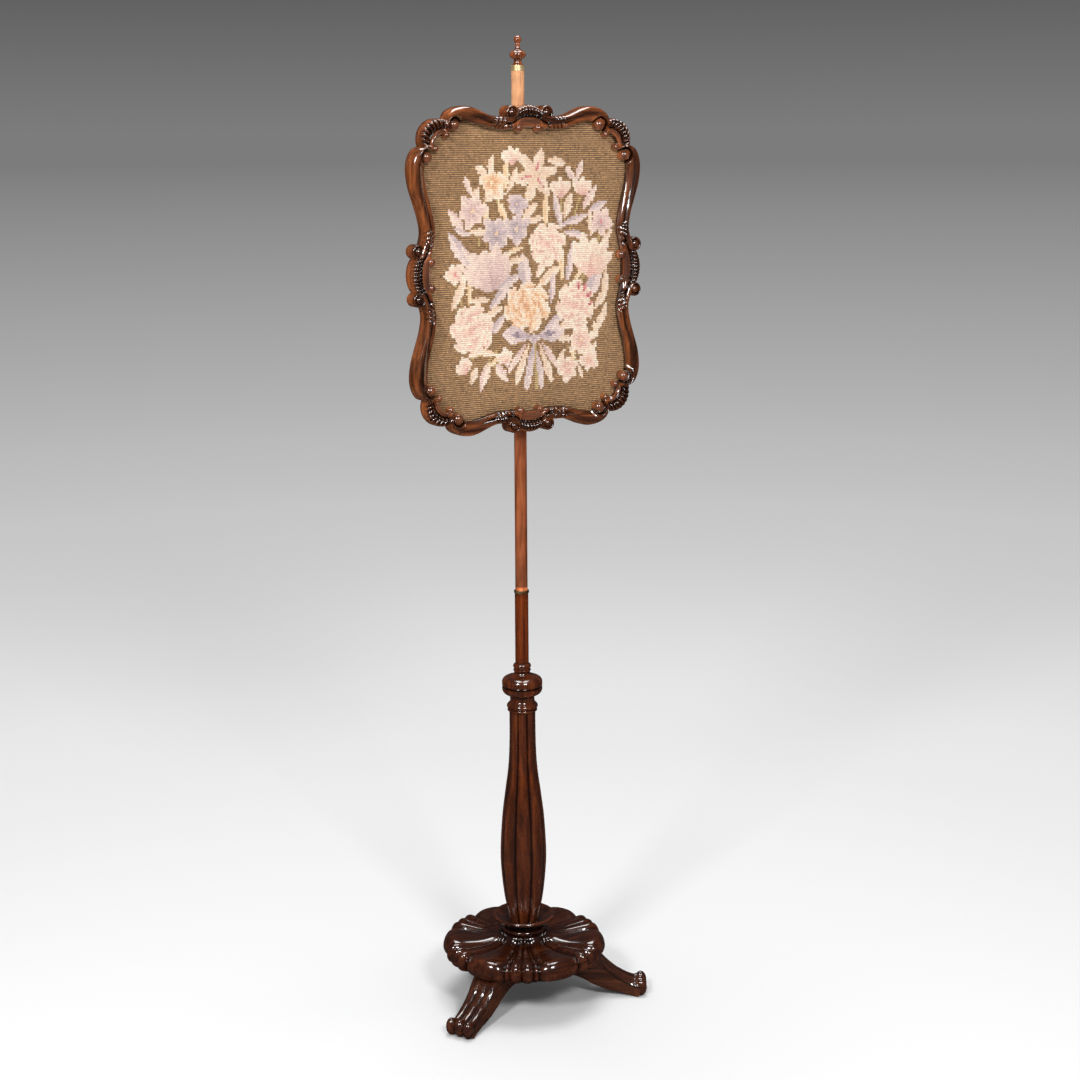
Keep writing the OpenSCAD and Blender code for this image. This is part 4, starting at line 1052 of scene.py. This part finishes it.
class Canvas:
    """Grid of stitches with a colour each; shapes are laid on in order, each from a formula."""

    def __init__(self, half_w, half_h):
        columns = int(half_w / STITCH)
        rows = int(half_h / STITCH)
        u = np.arange(-columns, columns + 1) * STITCH
        v = np.arange(-rows, rows + 1) * STITCH
        self.grid = np.meshgrid((u - BOUQUET_SHIFT) / BOUQUET_WIDTH, v)
        self.random = np.random.default_rng(7)
        self.colour = np.empty((*self.grid[0].shape, 3))
        self.colour[:] = GROUND
        self.unsettled = self.random.normal(0, 0.055, self.grid[0].shape)

    def around(self, u, v, turn=0.0):
        """Place of each stitch seen from a point, turned by an angle in degrees."""
        a = math.radians(turn)
        x = self.grid[0] - u
        y = self.grid[1] - v
        return x * math.cos(a) + y * math.sin(a), y * math.cos(a) - x * math.sin(a)

    def lay(self, inside, colour):
        self.colour = np.where(inside[..., None], colour, self.colour)

    def pick(self, amount, wools):
        """One of a flower's wools for each stitch: the amount, unsettled a little, rounded to a wool."""
        step = np.round((amount + self.unsettled) * (len(wools) - 1))
        return np.array(wools)[np.clip(step, 0, len(wools) - 1).astype(int)]

    def petal(self, u, v, reach, width, turn, wools, full=1.3, deep=1.0):
        """Petal from its foot outwards: half its width is a sine of a power of the way along.

        A higher power moves its fullest place outwards, and the edge waves a little.
        Wools go from the deepest at the foot to the palest at the tip.
        """
        x, y = self.around(u, v, turn)
        t = unit(x / reach)
        half = width / 2 * np.sin(np.pi * t ** full) ** 0.7 * (1 + 0.14 * np.sin(9 * t + turn))
        amount = deep * unit(1.15 - 1.25 * t) + 0.16 * (np.abs(y) < 0.1 * width) - 0.12 * np.sign(y)
        self.lay((x > 0) & (x < reach) & (np.abs(y) < half), self.pick(amount, wools))

    def leaf(self, u, v, length, width, turn, wools):
        """Leaf with pointed ends: its width falls with the square of the way along, over teeth.

        One half is deeper in colour.
        """
        x, y = self.around(u, v, turn)
        t = x / (length / 2)
        teeth = 1 + 0.3 * ((2.5 * t + 0.4 * np.sign(y)) % 1 - 0.5)
        reach = width / 2 * unit(1 - t * t) ** 0.9 * teeth
        amount = 0.25 + 0.3 * np.sign(y) - 0.25 * t
        self.lay((np.abs(t) < 1) & (np.abs(y) < reach), self.pick(amount, wools))

    def blossom(self, u, v, r, count, turn, wools, heart):
        """Open flower: petals side by side round a heart."""
        for i in range(count):
            reach = r * (1.12 - 0.2 * (i % 2) - 0.08 * math.sin(7 * i + turn))
            self.petal(u, v, reach, 4.1 * r / count, turn + 360 * i / count, wools, 1.1, 0.9)
        x, y = self.around(u, v)
        self.lay(np.hypot(x, y) < 0.13 * r, self.pick(0.5, heart))

    def rose(self, u, v, rx, ry, wools, turn=0.0):
        """Full rose: four rings of overlapping petals, laid from the outside in, round a deep heart."""
        r = (rx + ry) / 2
        x, y = self.around(u, v)
        self.lay(np.hypot(x / rx, y / ry) < 0.82, self.pick(0.55, wools))
        rings = ((7, 0.5, 0.52, 1.35), (6, 0.3, 0.5, 1.5), (4, 0.12, 0.46, 1.5), (2, -0.1, 0.42, 1.4))
        for ring, (count, foot, size, deep) in enumerate(rings):
            for i in range(count):
                way = turn + 360 * (i + 0.37 * ring) / count
                at_u = u + foot * rx * math.cos(math.radians(way))
                at_v = v + foot * ry * math.sin(math.radians(way))
                self.petal(at_u, at_v, size * r, 0.66 * r, way + 14, wools, 1.8, deep)

    def lily(self, u, v, r, turn, wools, veins):
        """Six pointed petals; every second one has a vein up its middle."""
        for i in (1, 3, 5, 0, 2, 4):
            self.petal(u, v, r, 0.46 * r, turn + 60 * i, wools, 0.95, 0.5)
            if i % 2:
                self.petal(u, v, 0.6 * r, 4.5, turn + 60 * i, veins, 0.9, 0.6)

    def tulip(self, u, v, w, h, turn, wools):
        """Cup flower: five pointed petals from one foot, the outer ones first."""
        lean = math.radians(turn)
        foot_u = u + 0.5 * h * math.sin(lean)
        foot_v = v - 0.5 * h * math.cos(lean)
        for way, length in ((40, 0.92), (-40, 0.92), (21, 1.04), (-21, 1.04), (0, 0.92)):
            self.petal(foot_u, foot_v, length * h, 0.4 * w, 90 + turn + way, wools, 1.1, 0.9)

    def stem(self, u0, v0, u1, v1, width, colour):
        """Stem: all stitches near a straight line."""
        length = math.hypot(u1 - u0, v1 - v0)
        x, y = self.around((u0 + u1) / 2, (v0 + v1) / 2, math.degrees(math.atan2(v1 - v0, u1 - u0)))
        self.lay((np.abs(x) < length / 2) & (np.abs(y) < width / 2), np.array(colour))


def bouquet(canvas):
    """A spray of roses, cup flowers, small blossoms and leaves, tied with a bow."""
    for stem in (
        (60, 112, 62, 60), (98, 112, 78, 60), (140, 56, 100, -20), (-100, 70, -92, 40), (-66, 120, -40, 70),
        (-139, -10, -118, -70), (8, -100, 10, -186), (-64, -120, -66, -150), (74, -120, 92, -150),
        (96, -20, 60, -60), (30, 100, 32, 60), (-112, -130, -70, -126), (-90, -160, -72, -128),
        (-56, -150, -66, -124), (112, -140, 84, -120),
    ):
        canvas.stem(*stem, 3.4, MOSS)
    leaves = (
        (-70, 163, 31, 12, 78, CREAM), (-88, 155, 24, 13, 150, CREAM), (-43, 146, 48, 13, 84, YELLOW),
        (-31, 140, 42, 11, 64, CREAM), (-54, 128, 40, 11, 100, CREAM), (-64, 115, 48, 12, 12, CREAM),
        (53, 166, 37, 14, -12, CREAM), (-113, 132, 34, 12, 112, BLUSH), (-99, 118, 28, 12, 60, CREAM),
        (-135, 80, 46, 16, -50, BLUSH), (-124, 62, 30, 10, -20, LILAC), (-131, 36, 66, 20, -56, LILAC),
        (-110, 22, 48, 11, -50, BLUSH), (-132, -32, 56, 15, 62, CREAM), (-112, -27, 44, 10, 86, YELLOW),
        (-94, -43, 40, 11, 4, CREAM), (-80, 86, 44, 11, 102, YELLOW), (-94, 62, 38, 11, 0, CREAM),
        (-50, 93, 40, 11, 118, YELLOW), (2, 92, 42, 12, 40, CREAM), (-6, 106, 30, 9, 70, YELLOW),
        (32, 93, 54, 12, 88, YELLOW), (12, 78, 34, 10, 10, CREAM), (79, 148, 31, 13, 130, BLUSH),
        (97, 153, 34, 12, 66, BLUSH), (117, 110, 46, 14, 55, BLUSH), (131, 95, 44, 13, 22, LILAC),
        (54, 93, 64, 13, 104, LILAC), (74, 98, 42, 15, 70, CREAM), (88, 76, 60, 12, 16, LILAC),
        (90, 54, 50, 12, -10, LILAC), (118, 69, 44, 11, 96, CREAM), (148, 45, 38, 12, 50, CREAM),
        (78, 10, 66, 13, 80, LILAC), (62, 6, 52, 9, 92, YELLOW), (96, -8, 44, 8, 50, YELLOW),
        (38, -10, 54, 17, 36, CREAM), (22, 2, 34, 12, 60, PINK), (-54, -36, 58, 16, 44, LILAC),
        (-38, -16, 56, 15, 26, LILAC), (-9, 0, 56, 25, 100, LILAC), (-26, 16, 44, 11, 10, CREAM),
        (-30, 31, 44, 8, 18, YELLOW), (-68, -62, 44, 12, 28, CREAM), (-58, -80, 40, 14, 48, LILAC),
        (44, -28, 50, 12, 84, LILAC), (48, -82, 50, 14, 34, LILAC), (62, -92, 42, 9, 60, YELLOW),
        (125, -23, 58, 24, 64, LILAC), (147, -27, 50, 14, 84, CREAM), (139, -49, 42, 14, 50, CREAM),
        (138, -84, 40, 14, 62, CREAM), (147, -70, 32, 10, 84, CREAM), (128, -98, 30, 10, 110, CREAM),
        (62, -108, 56, 12, -10, CREAM), (-88, -122, 52, 11, -14, CREAM), (-122, -139, 30, 15, 120, PINK),
        (-106, -158, 32, 12, 64, CREAM), (-86, -160, 50, 16, 70, BLUSH), (-54, -156, 38, 15, -52, BLUSH),
        (-46, -132, 34, 16, 104, BLUSH), (-70, -140, 30, 8, 30, YELLOW), (106, -134, 36, 9, -24, CREAM),
        (98, -162, 30, 9, -66, CREAM), (60, -140, 34, 10, 60, CREAM), (84, -136, 30, 9, 90, YELLOW),
        (124, -128, 28, 10, 60, PINK),
    )
    for leaf in leaves:
        canvas.leaf(*leaf)
    blossoms = (
        (-68, 136, 24, 5, 20, GOLD, GOLD), (-105, 93, 27, 6, 10, BLUSH, YELLOW),
        (-22, 102, 20, 5, 0, LILAC, YELLOW), (-61, 58, 27, 6, 15, LILAC, YELLOW),
        (-23, 64, 25, 6, 30, LILAC, CREAM), (-138, -1, 19, 5, 45, PINK, RED),
        (139, 71, 22, 5, 60, BLUSH, RED), (99, -113, 27, 7, 12, PINK, GOLD),
        (73, -156, 22, 6, 20, PINK, GOLD), (115, -146, 18, 5, 40, PINK, GOLD),
    )
    for blossom in blossoms:
        canvas.blossom(*blossom)
    buds = (
        (-30, 162, 28, 100), (61, 110, 32, 92), (100, 112, 32, 84),
        (-47, -144, 24, 96), (-119, -154, 24, 118),
    )
    for u, v, reach, turn in buds:
        for lean in (34, -34, 0):
            canvas.petal(u, v, reach, 15, turn + lean, PINK, 1.4)
    canvas.lily(12, 146, 43, 12, CREAM, RED)
    canvas.tulip(-77, 6, 76, 72, 16, BLUSH)
    canvas.tulip(120, 20, 64, 68, -14, PINK)
    canvas.rose(88, -58, 36, 42, PINK, 30)
    canvas.rose(-108, -88, 40, 41, PINK, 70)
    canvas.rose(35, 39, 36, 34, PINK, 10)
    canvas.rose(-5, -57, 46, 38, GOLD, -20)
    for u, v, turn in ((104, -38, 70), (110, -48, 50), (112, -60, 30), (96, -34, 100)):
        canvas.petal(u, v, 15, 6, turn, RED, 1.2)
    for side in (-1, 1):
        way = 90 - 90 * side
        canvas.petal(8, -105, 60, 26, way + side * 9, LILAC, 1.5, 0.8)
        canvas.petal(8 + side * 8, -104, 34, 9, way + side * 9, ((0.4, 0.3, 0.34), LILAC[3]), 1.2)
        canvas.petal(8, -110, 80, 15, -90 + side * 11, LILAC, 1.4, 0.8)
        canvas.petal(8 + side * 9, -112, 72, 13, -90 + side * 22, CREAM, 1.4, 0.6)
        canvas.petal(8 + side * 14, -112, 60, 11, -90 + side * 38, BLUSH, 1.2, 0.8)
    canvas.stem(10, -112, 13, -188, 5, MOSS)
    canvas.blossom(8, -107, 10, 4, 0, LILAC, LILAC)


def inside_outline(u, v, outline):
    """True where a point is inside a closed outline: an odd number of edges lies to its right."""
    odd = np.zeros(u.shape, dtype=bool)
    following = np.roll(outline, -1, axis=0)
    for (u0, v0), (u1, v1) in zip(outline, following):
        crosses = (v0 > v) != (v1 > v)
        reach = u0 + (v - v0) * (u1 - u0) / (v1 - v0 if v1 != v0 else 1e-9)
        odd ^= crosses & (u < reach)
    return odd


def panel_outline():
    """Edge of the cloth: it follows the inner edge of the frame, tucked under its lip."""
    turns = []
    for quarter, side in enumerate((RAIL, STILE, RAIL, STILE)):
        stations = whole_side(half_side(*side))
        outer, inner = stations[:, 0:2], stations[:, 2:4]
        width = np.linalg.norm(outer - inner, axis=1)[:, None]
        edge = inner + (outer - inner) * (LIP_W - PANEL_FIT) / width
        turns.append(np.stack(quarter_turn(edge[:, 0], edge[:, 1], quarter), axis=1)[::6])
    return np.concatenate(turns)


def needlework():
    """The cloth: a grid of points two to a stitch, raised along the middle of each slanting stitch."""
    canvas = Canvas(188, 235)
    bouquet(canvas)
    rows, columns = canvas.colour.shape[:2]
    plain = canvas.colour.mean(axis=2, keepdims=True) < 0.35
    lively = 1 + canvas.random.normal(0, 1, (rows, columns, 1)) * np.where(plain, 0.15, 0.06)
    faded = 1 + 0.05 * np.sin(canvas.grid[0] / 37.0)[..., None] * np.cos(canvas.grid[1] / 51.0)[..., None]
    dyes = unit(canvas.colour * lively * faded)
    fine_u = (np.arange(columns * 2 + 1) / 2 - columns / 2) * STITCH
    fine_v = (np.arange(rows * 2 + 1) / 2 - rows / 2) * STITCH
    grid_u, grid_v = np.meshgrid(fine_u, fine_v)
    row_crest = (np.arange(rows * 2 + 1) % 2)[:, None]
    column_crest = (np.arange(columns * 2 + 1) % 2)[None, :]
    relief = 1.1 * row_crest * (0.62 + 0.38 * column_crest)
    wobble = 0.12 * canvas.random.normal(0, 1, grid_u.shape)
    grid_u = grid_u + 0.35 * (row_crest - 0.5) + wobble
    y = -(FRAME_BACK + CLOTH_H + relief)
    points = lattice(grid_u, y, SCREEN_Z + grid_v).reshape(-1, 3)
    index = np.arange(grid_u.size).reshape(grid_u.shape)
    quads = np.stack([index[:-1, :-1], index[:-1, 1:], index[1:, 1:], index[1:, :-1]], axis=-1).reshape(-1, 4)
    centres = np.meshgrid(fine_u[:-1] + STITCH / 4, fine_v[:-1] + STITCH / 4)
    outline = panel_outline()
    kept = inside_outline(*centres, outline).reshape(-1)
    stitch_colour = np.repeat(np.repeat(dyes, 2, axis=0), 2, axis=1).reshape(-1, 3)[kept]
    quads = quads[kept]
    used = np.unique(quads)
    renumber = np.zeros(len(points), dtype=int)
    renumber[used] = np.arange(len(used))
    quads = renumber[quads]
    points = points[used]
    cloth = mesh_object(
        "needlework_stitched", points, quads.reshape(-1), 4 * np.arange(len(quads)), np.zeros(len(points)),
        wool, "screen", ("needlework",),
    )
    attribute = cloth.data.attributes.new("stitch_colour", "FLOAT_COLOR", "CORNER")
    # Each corner's colour gets painted shade in the valleys between rows and a painted highlight on the
    # crests
    on_crest = (row_crest * (0.78 + 0.22 * column_crest)).reshape(-1)[used][quads]
    pale = ease((stitch_colour.mean(axis=1) - 0.3) / 0.2)[:, None]
    light = mix(mix(0.2, 0.7, pale), mix(1.45, 1.07, pale), on_crest)
    shaded = unit(stitch_colour[:, None, :] * light[:, :, None])
    corner_colour_and_shade = np.concatenate([shaded, np.ones((*quads.shape, 1))], axis=2)
    attribute.data.foreach_set("color", corner_colour_and_shade.astype(np.float32).ravel())


needlework()


# Fittings that keep their CAD shape get a finish each


NODE_FINISH = {
    "leg_screws": brass, "leg_dowels": plain_wood, "tenon_wedge": plain_wood, "pole_cap": bright_brass,
    "mitre_dowels": plain_wood, "panel_board": plain_wood, "back_panel": back_wood, "back_brads": iron,
    "upper_bracket": brass, "lower_bracket": brass, "bracket_screws": brass, "clamp_screw": brass,
}
for node_name, node_finish in NODE_FINISH.items():
    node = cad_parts[node_name]
    node.data.materials.clear()
    node.data.materials.append(node_finish)


# Floor, light and camera


# Colour and glow of the floor, each at a share: the distance over the distance plus eight metres
FLOOR_FADE = 8.0
FLOOR_GREYS = (
    (0, 0.765), (0.035, 0.79), (0.07, 0.81), (0.105, 0.825), (0.145, 0.845), (0.19, 0.9), (0.24, 0.91),
    (0.293, 0.92), (0.355, 0.94), (0.43, 0.9), (0.5, 0.845), (0.6, 0.76), (0.7, 0.645), (0.83, 0.51),
    (0.92, 0.43),
)
FLOOR_GLOWS = (
    (0, 0), (0.13, 0.01), (0.19, 0.03), (0.24, 0.06), (0.293, 0.085), (0.355, 0.12), (0.43, 0.138),
    (0.5, 0.127), (0.6, 0.107), (0.7, 0.092), (0.82, 0.077), (0.92, 0.06),
)
# The photograph's camera: focal length and width in pixels, angles in degrees and place in metres
FOCAL_PIXELS = 1901.4
PHOTO_PIXELS = 1080
CAMERA_TURN = -30
CAMERA_PITCH = 12.093
CAMERA_YAW = -0.582
CAMERA_ROLL = -0.3
CAMERA_AT = (-1.5, -2.598, 1.425)


def floor():
    """Pale studio floor: a wide disc, white near the stand and greyer with distance."""
    r = np.array([0.01, 1, 2, 4, 8, 16, 40, 100, 400])[:, None]
    a = round_angles(96)[None, :]
    points = lattice(r * np.cos(a), r * np.sin(a), -0.0005)
    index = np.arange(points.shape[0] * 96).reshape(-1, 96)
    beside = np.roll(index, -1, axis=1)
    quads = np.stack([index[:-1], index[1:], beside[1:], beside[:-1]], axis=-1).reshape(-1, 4)
    mesh = bpy.data.meshes.new("studio_floor")
    mesh.from_pydata(points.reshape(-1, 3).tolist(), [], quads.tolist() + [index[0].tolist()])
    finish = Finish("studio floor")
    length = finish.add("ShaderNodeVectorMath", operation="LENGTH")
    finish.link(finish.coordinates("Object"), length.inputs[0])
    distance = length.outputs["Value"]
    share = finish.calculate("DIVIDE", distance, finish.calculate("ADD", distance, FLOOR_FADE))
    paths = finish.add("ShaderNodeLightPath").outputs
    places, greys = zip(*FLOOR_GREYS)
    colour = finish.ramp(share, places, [(grey, grey, grey * 1.003) for grey in greys])
    finish.paint(finish.blend(paths["Is Glossy Ray"], colour, (0.03, 0.03, 0.03)))
    places, glows = zip(*FLOOR_GLOWS)
    glow = finish.ramp(share, places, [(level, level, level) for level in glows])
    finish.link(glow, finish.shader.inputs["Emission Color"])
    finish.link(paths["Is Camera Ray"], finish.shader.inputs["Emission Strength"])
    set_inputs(finish.shader, Roughness=0.95, Specular_IOR_Level=0.1)
    mesh.materials.append(finish.material)
    obj = new_object("studio_floor", mesh)


def studio_world():
    """Even light all round; seen directly, the grey of the backdrop, and in shiny surfaces a dark room."""
    world = bpy.data.worlds.new("studio")
    bpy.context.scene.world = world
    world.use_nodes = True
    nodes = Nodes(world.node_tree)
    nodes.tree.nodes.clear()
    light, room, backdrop = (nodes.add("ShaderNodeBackground") for _ in range(3))
    set_inputs(light, Color=(1, 1, 1, 1), Strength=0.34)
    set_inputs(room, Color=(0.04, 0.04, 0.043, 1))
    grey = nodes.spread(nodes.height(nodes.coordinates("Generated")), 0, 0.075, 0.203, 0.109)
    nodes.link(grey, backdrop.inputs["Color"])
    paths = nodes.add("ShaderNodeLightPath").outputs
    lit = nodes.choose(paths["Is Glossy Ray"], light.outputs["Background"], room.outputs["Background"])
    seen = nodes.choose(paths["Is Camera Ray"], lit, backdrop.outputs["Background"])
    nodes.link(seen, nodes.add("ShaderNodeOutputWorld").inputs["Surface"])


def softbox(name, azimuth, elevation, distance, size, power, target):
    """A square lamp on a sphere round its target, turned to face it. Azimuth is from -Y towards +X."""
    lamp = bpy.data.lights.new(name, "AREA")
    lamp.shape = "SQUARE"
    lamp.size = size
    lamp.energy = power
    obj = new_object(name, lamp)
    a, e = math.radians(azimuth), math.radians(elevation)
    away = np.array([math.sin(a) * math.cos(e), -math.cos(a) * math.cos(e), math.sin(e)])
    obj.location = np.array(target) + distance * away
    obj.rotation_euler = (math.pi / 2 - e, 0, a)


def photo_camera():
    """Camera at the photograph's place and angle, for a square picture."""
    data = bpy.data.cameras.new("camera")
    data.sensor_fit = "HORIZONTAL"
    data.sensor_width = 36
    data.lens = 36 * FOCAL_PIXELS / PHOTO_PIXELS
    obj = new_object("camera", data)
    obj.rotation_mode = "QUATERNION"
    tilt = math.pi / 2 - math.radians(CAMERA_PITCH)
    aim = Euler((tilt, 0, math.radians(CAMERA_TURN + CAMERA_YAW)), "XYZ").to_quaternion()
    spin = Euler((0, 0, math.radians(CAMERA_ROLL)), "XYZ").to_quaternion()
    obj.rotation_quaternion = aim @ spin
    obj.location = CAMERA_AT
    bpy.context.scene.camera = obj


floor()
studio_world()
softbox("left_softbox", -57, 30, 3.2, 0.6, 50, (0, 0, 0.9))
softbox("right_softbox", -10, 30, 3.2, 0.6, 48, (0, 0, 0.9))
softbox("top_softbox", 150, 80, 3.0, 1.6, 62, (0, 0, 0.6))
photo_camera()
bpy.context.scene.view_settings.view_transform = "Standard"
